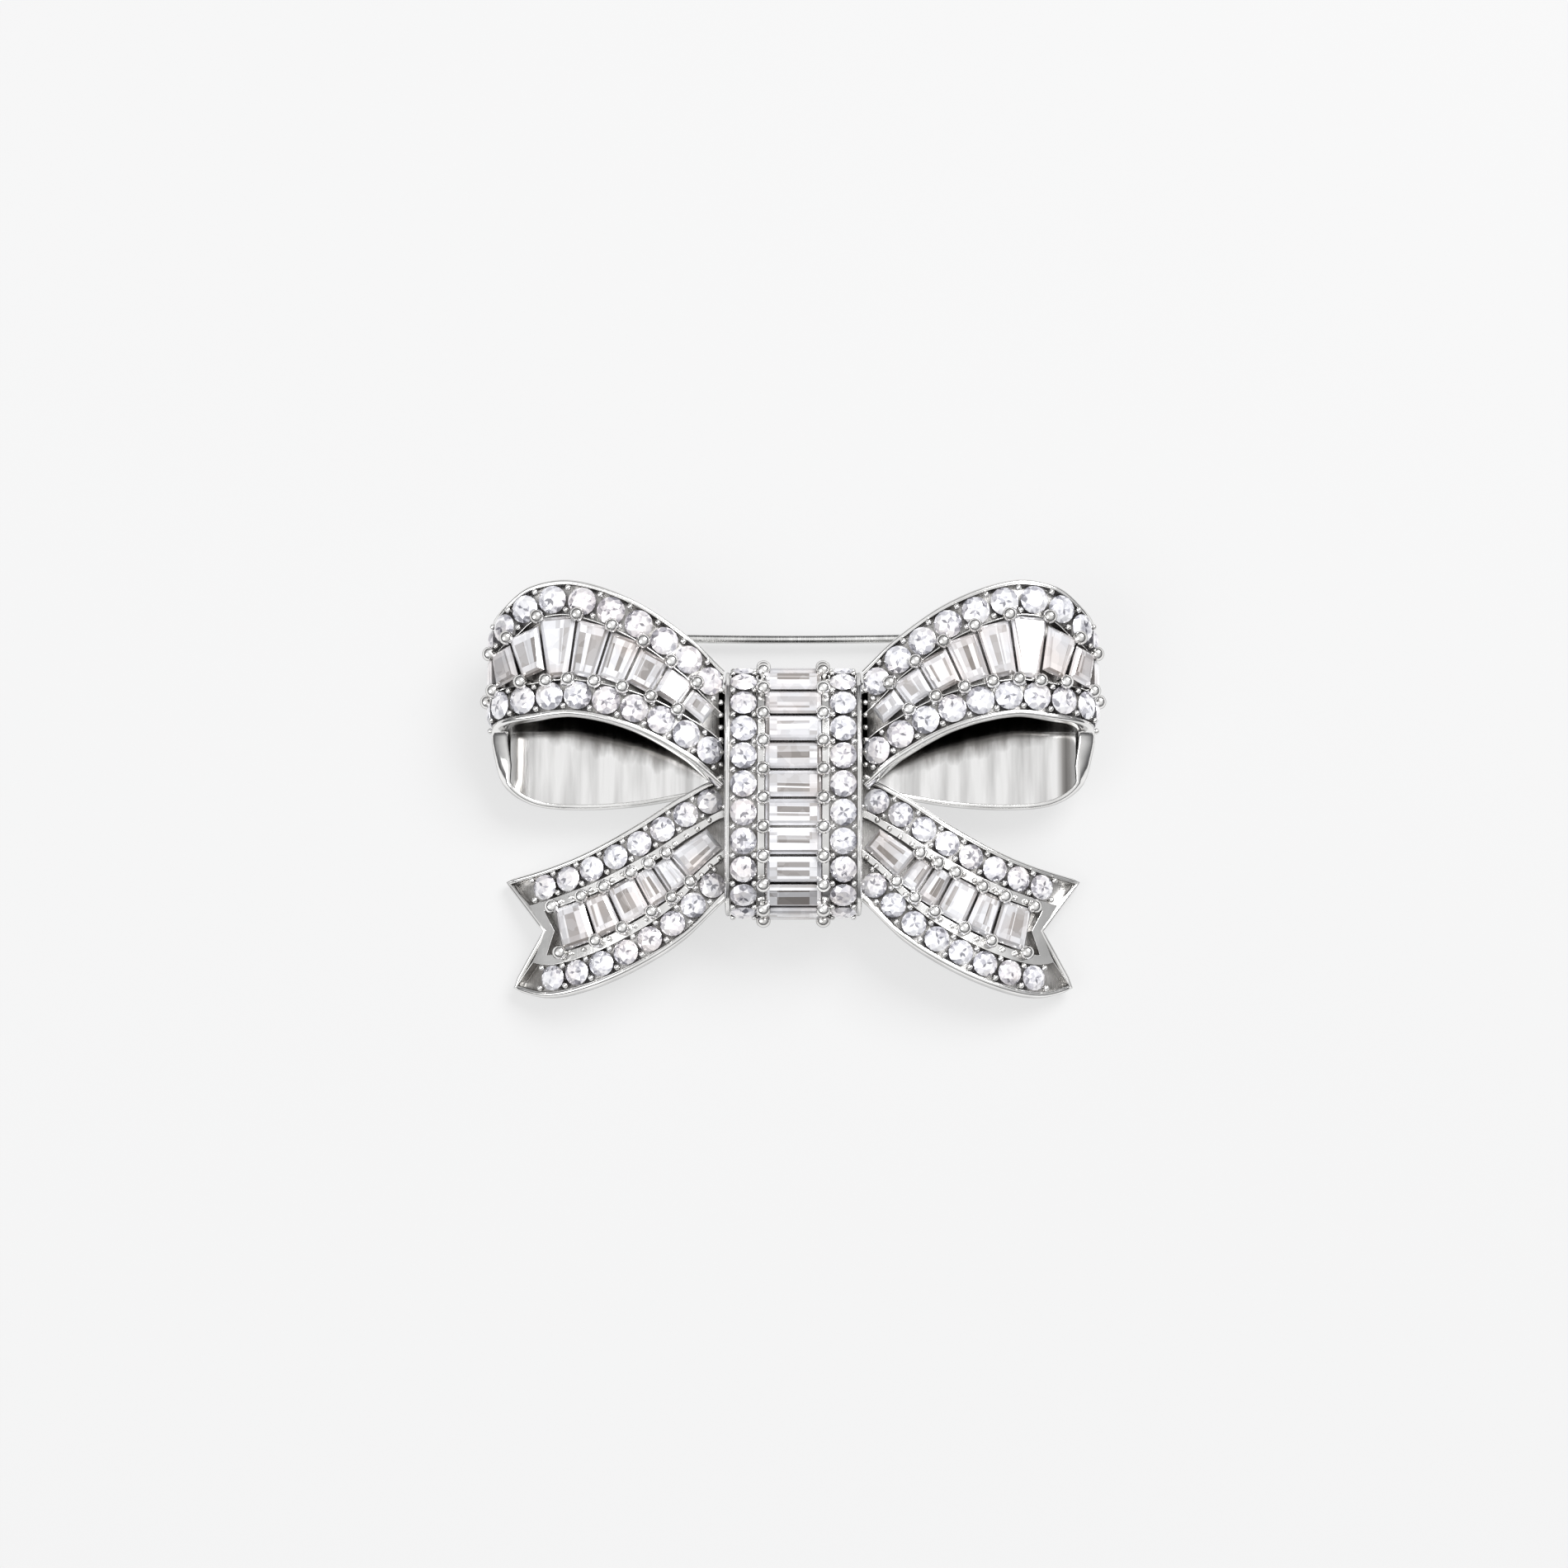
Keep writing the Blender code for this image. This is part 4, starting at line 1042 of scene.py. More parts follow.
@dataclass(frozen=True)
class Metal:
    """A metal finish: its two shades, its gloss, the depth of its polishing lines, and a painted shade where
    it turns from view.

    Attributes:
        name: The material's name.
        light: The lighter shade.
        dark: The darker shade.
        smooth: The least roughness.
        rough: The greatest roughness.
        line_scale: The fineness of the polishing lines.
        line_depth: The strength of their relief.
        stretch: How much finer the mottle is along each axis.
        spread: Where in the mottle the darker and the lighter shade are reached.
        edge: How bright the painted shade leaves the metal where it turns away from view.
    """

    name: str
    light: Colour
    dark: Colour
    smooth: float
    rough: float
    line_scale: float = 900.0
    line_depth: float = 0.1
    stretch: tuple[float, float, float] = (1.0, 1.0, 1.0)
    spread: tuple[float, float] = (0.35, 0.62)
    edge: float = 0.5

    def make(self, lines: bpy.types.NodeTree,
             shade: bpy.types.NodeTree | None = None) -> bpy.types.Material:
        """Build the material.

        Args:
            lines: The shared group of polishing lines.
            shade: The shared group of painted reflection and shade, where the metal lies under an arch.

        Returns:
            The material.
        """
        material = bpy.data.materials.new(self.name)
        material.use_nodes = True
        tree = material.node_tree
        shader = tree.nodes["Principled BSDF"]
        shader.inputs["Metallic"].default_value = 1.0
        group = tree.nodes.new("ShaderNodeGroup")
        group.node_tree = lines
        group.inputs["Line Scale"].default_value = self.line_scale
        for axis, stretch in zip("XYZ", self.stretch):
            group.inputs[f"Stretch {axis}"].default_value = stretch
        colours = ramp(tree, ((self.spread[0], self.dark), (self.spread[1], self.light)))
        gloss = tree.nodes.new("ShaderNodeMapRange")
        gloss.inputs["From Min"].default_value = 0.3
        gloss.inputs["From Max"].default_value = 0.7
        gloss.inputs["To Min"].default_value = self.smooth
        gloss.inputs["To Max"].default_value = self.rough
        bump = tree.nodes.new("ShaderNodeBump")
        bump.inputs["Strength"].default_value = self.line_depth
        bump.inputs["Distance"].default_value = 0.02 * MM
        tree.links.new(group.outputs["Mottle"], colours.inputs["Fac"])
        # Painted shade: the colour darkens towards the edge value where the surface turns away from view.
        facing = tree.nodes.new("ShaderNodeLayerWeight")
        facing.inputs["Blend"].default_value = 0.5
        turned = ramp(tree, ((0.5, WHITE), (0.95, (self.edge,) * 3)))
        tree.links.new(facing.outputs["Facing"], turned.inputs["Fac"])
        colour = self.multiplied(tree, colours.outputs["Color"], turned.outputs["Color"])
        # Painted reflection and shade: the arch group darkens the colour, near black under the arch.
        if shade:
            mask = tree.nodes.new("ShaderNodeGroup")
            mask.node_tree = shade
            darkness = ramp(tree, ((0.0, WHITE), (0.5, (0.36, 0.35, 0.34)), (1.0, (0.06, 0.057, 0.053))))
            tree.links.new(mask.outputs["Shade"], darkness.inputs["Fac"])
            colour = self.multiplied(tree, colour, darkness.outputs["Color"])
        tree.links.new(colour, shader.inputs["Base Color"])
        tree.links.new(group.outputs["Lines"], gloss.inputs["Value"])
        tree.links.new(gloss.outputs["Result"], shader.inputs["Roughness"])
        tree.links.new(group.outputs["Lines"], bump.inputs["Height"])
        tree.links.new(bump.outputs["Normal"], shader.inputs["Normal"])
        return material

    @staticmethod
    def multiplied(tree: bpy.types.NodeTree, first: bpy.types.NodeSocket,
                   second: bpy.types.NodeSocket) -> bpy.types.NodeSocket:
        """Return the product of two colours.

        Args:
            tree: The node tree that it is added to.
            first: The first colour.
            second: The second colour.

        Returns:
            The product's socket.
        """
        node = tree.nodes.new("ShaderNodeMix")
        node.data_type = "RGBA"
        node.blend_type = "MULTIPLY"
        node.inputs["Factor"].default_value = 1.0
        tree.links.new(first, node.inputs["A"])
        tree.links.new(second, node.inputs["B"])
        return node.outputs["Result"]


@dataclass(frozen=True)
class Gem:
    """A clear stone's finish: painted light and shade on its facets from dark to bright, and painted shapes
    inside it.

    Attributes:
        name: The material's name.
        tones: Its painted colours of sparkle, from the dark facets to the bright ones.
        tint: The colour that some stones lean to.
        play_scale: The fineness of the painted shapes inside it.
        play_depth: How much they break up a facet's tone.
        metallic: How much it mirrors its surroundings.
        roughness: Its facets' roughness.
        index: Its index of refraction.
        coat_roughness: Its polish's roughness.
    """

    name: str
    tones: tuple[tuple[float, Colour], ...]
    tint: Colour
    play_scale: float
    play_depth: float
    metallic: float = 0.3
    roughness: float = 0.05
    index: float = 2.15
    coat_roughness: float = 0.02

    def make(self, play: bpy.types.NodeTree) -> bpy.types.Material:
        """Build the material.

        Args:
            play: The shared group of facet tones.

        Returns:
            The material.
        """
        material = bpy.data.materials.new(self.name)
        material.use_nodes = True
        tree = material.node_tree
        shader = tree.nodes["Principled BSDF"]
        shader.inputs["Metallic"].default_value = self.metallic
        shader.inputs["Roughness"].default_value = self.roughness
        shader.inputs["IOR"].default_value = self.index
        shader.inputs["Coat Weight"].default_value = 1.0
        shader.inputs["Coat Roughness"].default_value = self.coat_roughness
        group = tree.nodes.new("ShaderNodeGroup")
        group.node_tree = play
        group.inputs["Scale"].default_value = self.play_scale
        group.inputs["Depth"].default_value = self.play_depth
        colours = ramp(tree, self.tones)
        tint = tree.nodes.new("ShaderNodeMix")
        tint.data_type = "RGBA"
        tint.blend_type = "MULTIPLY"
        tint.inputs["B"].default_value = (*self.tint, 1.0)
        share = tree.nodes.new("ShaderNodeMapRange")
        share.inputs["From Min"].default_value = 0.45
        share.inputs["From Max"].default_value = 0.7
        tree.links.new(group.outputs["Tone"], colours.inputs["Fac"])
        tree.links.new(group.outputs["Tint"], share.inputs["Value"])
        tree.links.new(share.outputs["Result"], tint.inputs["Factor"])
        tree.links.new(colours.outputs["Color"], tint.inputs["A"])
        tree.links.new(tint.outputs["Result"], shader.inputs["Base Color"])
        return material


# Each metal's edge value sets its painted shade where the surface turns from view.
POLISHED = Metal("polished_silver", (0.96, 0.955, 0.945), (0.78, 0.775, 0.765), 0.08, 0.20, edge=0.42)
# Mirror-polished back strands: the mottle, stretched into streaks, paints reflections of the studio into the
# colour.
MIRROR = Metal("mirror_silver", (0.98, 0.975, 0.97), (0.66, 0.655, 0.65), 0.05, 0.14,
               stretch=(2.2, 0.2, 0.6), spread=(0.34, 0.6), edge=0.5)
# Beads and prongs: edge 0.1 paints a near-black outline of shade round each one.
BRIGHT = Metal("bright_bead_silver", (0.98, 0.975, 0.965), (0.74, 0.73, 0.715), 0.08, 0.18,
               line_scale=2500.0, line_depth=0.2, edge=0.1)
# Channel floors and walls under the stones: silver darkened with painted shade.
SHADED = Metal("shaded_seat_silver", (0.62, 0.61, 0.60), (0.26, 0.25, 0.24), 0.2, 0.4,
               line_scale=2500.0, line_depth=0.3)
STEEL = Metal("drawn_steel", (0.72, 0.72, 0.71), (0.58, 0.58, 0.57), 0.16, 0.34,
              line_scale=1800.0, line_depth=0.08, edge=0.35)
# Round stones: facet tones map to painted sparkle, from dark reflections to white glints.
ROUND_GEM = Gem(
    "round_stone",
    (
        (0.0, (0.20, 0.20, 0.23)),
        (0.3, (0.50, 0.50, 0.56)),
        (0.6, (0.84, 0.84, 0.89)),
        (1.0, (0.98, 0.98, 1.0)),
    ),
    (1.0, 0.94, 0.91),
    play_scale=2600.0,
    play_depth=0.5,
)
# Baguettes: facet tones map to painted reflections, from dark grey to bright edges.
STEP_GEM = Gem(
    "baguette_stone",
    (
        (0.0, (0.20, 0.18, 0.17)),
        (0.3, (0.42, 0.40, 0.395)),
        (0.65, (0.66, 0.66, 0.69)),
        (1.0, (0.93, 0.93, 0.96)),
    ),
    (1.0, 0.93, 0.88),
    play_scale=900.0,
    play_depth=0.2,
)


class Finishes:
    """Every material of the bow, built once."""

    def __init__(self) -> None:
        """Build the shared groups and the materials."""
        lines = polish_lines()
        play = facet_play()
        self.polished = POLISHED.make(lines)
        self.mirror = MIRROR.make(lines, arch_shade())
        self.bright = BRIGHT.make(lines)
        self.shaded = SHADED.make(lines)
        self.steel = STEEL.make(lines)
        self.round_gem = ROUND_GEM.make(play)
        self.step_gem = STEP_GEM.make(play)


# ---------------------------------------------------------------- strands


@dataclass(frozen=True)
class Setting:
    """Sizes that every strand's stone setting shares.

    Attributes:
        rim: Metal between the strand's edge and the first stones.
        seat_clearance: Room round a stone in its channel.
        stone_gap: Room between two round stones.
        baguette_gap: Room between two baguettes.
        girdle_rise: The girdles' height above the metal.
        channel_wall: The wall between two channels.
        channel_runout: How far a channel goes on past its last stone.
        floor_gap: Room under a stone.
        bead_inset: How far from a row's line its beads stand, as a share of the stones' diameter.
        bead_margin: How far from a row's ends its last beads stand.
        prong_reach: How far past a baguette's end its prongs stand.
    """

    rim: float = 0.2 * MM
    seat_clearance: float = 0.06 * MM
    stone_gap: float = 0.14 * MM
    baguette_gap: float = 0.2 * MM
    girdle_rise: float = 0.05 * MM
    channel_wall: float = 0.12 * MM
    channel_runout: float = 0.35 * MM
    floor_gap: float = 0.16 * MM
    bead_inset: float = 0.40
    bead_margin: float = 0.1 * MM
    prong_reach: float = 0.12 * MM

    def round_depth(self, diameter: float) -> float:
        """Return the depth of a round stones' channel."""
        return BrilliantCut.pavilion * diameter - self.girdle_rise + self.floor_gap

    def step_depth(self) -> float:
        """Return the depth of a baguettes' channel."""
        return StepCut.keel_depth - self.girdle_rise + self.floor_gap


SETTING = Setting()


@dataclass
class Strand:
    """A stone-set strip of the bow: its casting, stones, prongs and beads.

    Attributes:
        side: Its half of the bow.
        finishes: The bow's materials.
        width: The bow's overall width, from the frame.
        height: The bow's overall height, from the frame.
        seed: The seed of its stones' tones.
    """

    side: Side
    finishes: Finishes
    width: float
    height: float
    seed: int

    kind = "strand"
    drawn_width = 50.60 * MM
    drawn_height = 32.836 * MM
    sharp = 50.0

    def __post_init__(self) -> None:
        """Scale the outline, drawn in millimetres, to the frame and start the strand's own draws."""
        self.drawn_x = MM * self.width / self.drawn_width
        self.drawn_y = MM * self.height / self.drawn_height
        self.draw = random.Random(self.seed)
        self.prefix = f"{self.side.value}_{self.kind}"

    def round_diameter(self, ribbon: Ribbon, start: float, ends: tuple[float, float], count: int) -> float:
        """Return the round stones' diameter that fits the shorter edge."""
        edges = [StoneLine(ribbon, start, end, edge) for edge, end in zip((ribbon.low, ribbon.high), ends)]
        return min(edge.length for edge in edges) / count - SETTING.stone_gap

    def row_lines(self, ribbon: Ribbon, diameter: float) -> tuple[Line, Line]:
        """Return the two lines that the round stones sit on.

        Args:
            ribbon: The strip.
            diameter: The round stones' diameter.

        Returns:
            The low line and the high line.
        """
        inset = SETTING.rim + SETTING.seat_clearance + diameter / 2

        def inside(edge: Line, offset: float) -> Line:
            """Return the line that keeps a distance inside an edge."""
            return lambda s: edge(s) + offset * ribbon.stretch(edge, s, EDGE_SLOPE_SHARE)

        return inside(ribbon.low, inset), inside(ribbon.high, -inset)

    def room_between(self, ribbon: Ribbon, low: Line, high: Line, half: float) -> tuple[Line, Line]:
        """Return the middle line between two rows of round stones, and the clear width there.

        Args:
            ribbon: The strip.
            low: The line of the low row of round stones.
            high: The line of the high row of round stones.
            half: Half the width of a round stones' channel.

        Returns:
            The middle line and the clear width at each place.
        """
        low_side = ribbon.beside(low, half + SETTING.channel_wall)
        high_side = ribbon.beside(high, -half - SETTING.channel_wall)

        def middle(s: float) -> float:
            """Return the middle's place across."""
            return (low_side(s) + high_side(s)) / 2

        return middle, lambda s: (high_side(s) - low_side(s)) / ribbon.stretch(middle, s, SLOPE_SHARE)

    def channel_lines(self, ribbon: Ribbon, rows: Sequence[tuple[Line, Line]], start: float,
                      end: float) -> list[Line]:
        """Return both sides of each row's channel, between the strip's edges.

        Args:
            ribbon: The strip.
            rows: Each row's middle line and half width.
            start: Where the channels start.
            end: Where they end.

        Returns:
            The lines from the low edge to the high edge.
        """
        lines = [ribbon.low]
        for line, half in rows:
            for sign in (-1, 1):
                def side(s: float, line: Line = line, half: Line = half, sign: int = sign) -> float:
                    """Return the channel's side at s."""
                    return ribbon.beside(line, sign * half(s))(s)

                lines.append(ribbon.held(side, start, end))
        lines.append(ribbon.high)
        return lines

    def least_room(self, row: StoneLine, room: Line, start: float, end: float) -> float:
        """Return how long a baguette may be across the strand between two distances."""
        places = [start + (end - start) * step / 4 for step in range(5)]
        return min(room(row.reach(place)) for place in places) - 2 * SETTING.seat_clearance

    def sides_between(self, row: StoneLine, start: float, end: float,
                      length: float) -> tuple[list[float], list[float]]:
        """Return where a baguette's sides lie at its low and high ends.

        Args:
            row: The line that the stones sit on.
            start: Where the stone starts along the row.
            end: Where it ends.
            length: The stone's length.

        Returns:
            The two sides at the low end, and the two at the high end.
        """
        back = row.frame((start + end) / 2).inverted()
        ends: tuple[list[float], list[float]] = ([], [])
        for edge, gap in ((start, SETTING.baguette_gap / 2), (end, -SETTING.baguette_gap / 2)):
            cut = back @ row.frame(edge)
            origin, across = cut.col[3], cut.col[1]
            for side, y in zip(ends, (-length / 2, length / 2)):
                side.append(origin.x + across.x * (y - origin.y) / across.y + gap)
        return ends

    def set_rounds(self, label: str, row: StoneLine, count: int, diameter: float) -> None:
        """Set a row of round stones in place of its plain solid.

        Args:
            label: The plain solid's name.
            row: The line that the stones sit on.
            count: How many stones the row has.
            diameter: The round stones' diameter.
        """
        pitch = row.length / count
        stones = Blank(self.side)
        for index in range(count):
            place = row.frame(pitch * (index + 0.5)) @ Matrix.Translation((0, 0, SETTING.girdle_rise))
            BrilliantCut().add(stones, place, diameter, self.draw)
        piece = stones.build(f"{label}_cut", [self.finishes.round_gem])
        install(piece, "bow", "round_stones", label)

    def bead_rows(self, beads: Blank, row: StoneLine, count: int, diameter: float) -> None:
        """Raise a pair of beads between each two round stones, and at the row's ends.

        Args:
            beads: The beads' mesh in the making.
            row: The line that the stones sit on.
            count: How many stones the row has.
            diameter: The round stones' diameter.
        """
        pitch = row.length / count
        for index in range(count + 1):
            margin = SETTING.bead_margin
            distance = min(max(pitch * index, margin), row.length - margin)
            self.raise_pair(BEAD, beads, row, distance, SETTING.bead_inset * diameter)

    @staticmethod
    def raise_pair(grain: Grain, metal: Blank, row: StoneLine, distance: float, across: float) -> None:
        """Raise two grains, one on each side of a row."""
        for sign in (-1, 1):
            grain.add(metal, row.frame(distance) @ Matrix.Translation((0, sign * across, 0)))

    def set_baguette(self, name: str, place: Matrix, sides: tuple, length: float,
                     node: str | None) -> None:
        """Set one baguette, in place of its plain solid where it has one.

        Args:
            name: The stone's name.
            place: Its place and axes on the metal.
            sides: Where its sides lie at its low end and at its high end.
            length: Its length.
            node: The plain solid's name, where it has one.
        """
        stone = Blank(self.side)
        lifted = place @ Matrix.Translation((0, 0, SETTING.girdle_rise))
        StepCut().add(stone, lifted, sides, length, self.draw)
        piece = stone.build(name, [self.finishes.step_gem])
        install(piece, "bow", "baguette_stones", *([node] if node else []))

    def finish_metal(self, casting: Casting, rim: Blank, beads: Blank, prongs: Blank, node: str) -> None:
        """Make the strand's metal pieces: casting, rim, beads and prongs.

        Args:
            casting: The strand's metal strip.
            rim: The rim's mesh in the making.
            beads: The beads' mesh in the making.
            prongs: The prongs' mesh in the making.
            node: The plain casting's name.
        """
        finishes = self.finishes
        metals = [finishes.polished, finishes.shaded, finishes.mirror]
        piece = casting.build(f"{node}_casting", self.side, metals)
        install(piece, "bow", "silver_castings", node)
        for blank, label, metal in (
            (rim, "rim", finishes.polished),
            (beads, "beads", finishes.bright),
            (prongs, "prongs", finishes.bright),
        ):
            install(blank.build(f"{node}_{label}", [metal], self.sharp), "bow", "silver_castings")


@dataclass
class Loop(Strand):
    """A folded loop: a stone-set front strand, a bend, and a plain polished back strand."""

    kind = "loop"
    rounds = 10
    baguettes = 9
    front_share = 0.51
    thin_share = 0.60
    front_thickness = 1.3 * MM
    back_thickness = 0.9 * MM
    back_rise = 0.03 * MM
    front_sections = 48
    back_sections = 30
    rim_steps = 110
    first_share = 0.05
    knot_beads = 9
    knot_bead_place = 0.22 * MM
    crest_rise = 6.95 * MM
    shoulder = 5.65 * MM
    root = 3.6 * MM
    outline = (
        (5.65, 0.72, 0.10, 9.25),
        (8.50, 0.87, 2.20, 11.75),
        (13.0, 1.00, 4.45, 14.60),
        (18.0, 0.98, 5.65, 16.30),
        (21.6, 0.85, 5.45, 16.00),
        (23.9, 0.65, 5.25, 14.50),
        (24.8, 0.42, 4.75, 13.60),
        (24.6, 0.20, 2.70, 13.30),
        (23.9, 0.08, 0.75, 13.40),
        (21.6, 0.02, -0.70, 13.95),
        (18.0, 0.00, -1.10, 14.65),
        (13.0, 0.00, -0.85, 12.95),
        (8.50, 0.05, -0.15, 10.05),
        (3.60, 0.145, 0.55, 7.05),
    )

    def ribbon(self) -> Ribbon:
        """Return the strip from the knot out, round the bend and back to the core.

        Returns:
            The strip.
        """
        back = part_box("right_loop")[0].z + self.back_rise
        rows = []
        for x, rise, low, high in self.outline:
            edges = low * self.drawn_y, high * self.drawn_y
            rows.append([x * self.drawn_x, back + rise * self.crest_rise, *edges])
        rows[0][0] = self.shoulder
        rows[-1][0] = self.root
        return Ribbon(spline(rows, 10), Vector((0, 1, 0)), Vector((1, 0, 0)))

    def thickness(self, ribbon: Ribbon) -> Line:
        """Return the metal's thickness: thick under the stones, thinner from the bend back.

        Args:
            ribbon: The strip.

        Returns:
            The thickness at each place along the strip.
        """
        def at(s: float) -> float:
            """Return the thickness at s.

            Args:
                s: The length along the strip.

            Returns:
                The thickness.
            """
            share = (s / ribbon.length - self.front_share) / (self.thin_share - self.front_share)
            share = max(0.0, min(1.0, share))
            return self.front_thickness + share * (self.back_thickness - self.front_thickness)

        return at

    def build(self) -> None:
        """Make the loop's casting, stones, prongs and beads."""
        ribbon = self.ribbon()
        start = SETTING.seat_clearance + SETTING.rim
        end = ribbon.length * self.front_share
        diameter = self.round_diameter(ribbon, start, (end, end), self.rounds)
        low, high = self.row_lines(ribbon, diameter)
        half = diameter / 2 + SETTING.seat_clearance
        middle, room = self.room_between(ribbon, low, high, half)
        casting = self.casting(ribbon, low, high, middle, room, half, end)
        beads, prongs, rim = Blank(self.side), Blank(self.side), Blank(self.side)
        for label, line in (("low", low), ("high", high)):
            row = StoneLine(ribbon, start, end, line)
            self.set_rounds(f"{self.prefix}_rounds_{label}", row, self.rounds, diameter)
            self.bead_rows(beads, row, self.rounds, diameter)
        self.add_knot_beads(beads, ribbon)
        self.set_baguettes(StoneLine(ribbon, start, end, middle), room, prongs)
        for edge in (ribbon.low, ribbon.high):
            places = [ribbon.length * step / self.rim_steps for step in range(self.rim_steps + 1)]
            Rim().add(rim, casting, [(s, edge(s)) for s in places])
        self.finish_metal(casting, rim, beads, prongs, self.prefix)

    def casting(self, ribbon: Ribbon, low: Line, high: Line, middle: Line, room: Line,
                half: float, end: float) -> Casting:
        """Return the loop's metal strip.

        Args:
            ribbon: The strip.
            low: The line of the low row of round stones.
            high: The line of the high row of round stones.
            middle: The line of the baguettes.
            room: The clear width for the baguettes at each place.
            half: Half the width of a round stones' channel.
            end: Where the stones end along the strip.

        Returns:
            The loop's casting.
        """
        rows = ((low, fixed(half)), (middle, lambda s: room(s) / 2), (high, fixed(half)))
        stop = end + SETTING.channel_runout
        places = self.channel_lines(ribbon, rows, 0.0, stop)
        last = stop / ribbon.length
        shares = [last * step / self.front_sections for step in range(self.front_sections)]
        shares += [last + (1 - last) * step / self.back_sections for step in range(self.back_sections + 1)]
        deep = SETTING.round_depth(2 * (half - SETTING.seat_clearance))
        channels = [
            Channel(1, 2, 0, self.front_sections, deep),
            Channel(3, 4, 0, self.front_sections, SETTING.step_depth()),
            Channel(5, 6, 0, self.front_sections, deep),
        ]
        lines = [(ribbon.length, place) for place in places]
        plain = self.front_sections
        return Casting(ribbon, lines, shares, channels, self.thickness(ribbon), plain_from=plain)

    def add_knot_beads(self, beads: Blank, ribbon: Ribbon) -> None:
        """Raise a column of small beads where the loop meets the knot.

        Args:
            beads: The beads' mesh in the making.
            ribbon: The strip.
        """
        for index in range(self.knot_beads):
            share = (index + 0.5) / self.knot_beads
            v = ribbon.low(0) + share * (ribbon.high(0) - ribbon.low(0))
            SMALL_BEAD.add(beads, Matrix.Translation(ribbon.point(self.knot_bead_place, v)))

    def set_baguettes(self, row: StoneLine, room: Line, prongs: Blank) -> None:
        """Set the baguettes, with a prong at each end of the gap between two of them.

        Args:
            row: The line that the stones sit on.
            room: The clear width for the baguettes at each place.
            prongs: The prongs' mesh in the making.
        """
        first = self.first_share * row.length
        pitch = (row.length - first) / self.baguettes
        for index in range(self.baguettes):
            start = first + pitch * index
            size = self.least_room(row, room, start, start + pitch)
            sides = self.sides_between(row, start, start + pitch, size)
            node = f"{self.prefix}_baguette_{index + 1}"
            self.set_baguette(f"{node}_cut", row.frame(start + pitch / 2), sides, size, node)
            across = room(row.reach(start + pitch)) / 2 + SETTING.prong_reach
            self.raise_pair(PRONG, prongs, row, start + pitch, across)


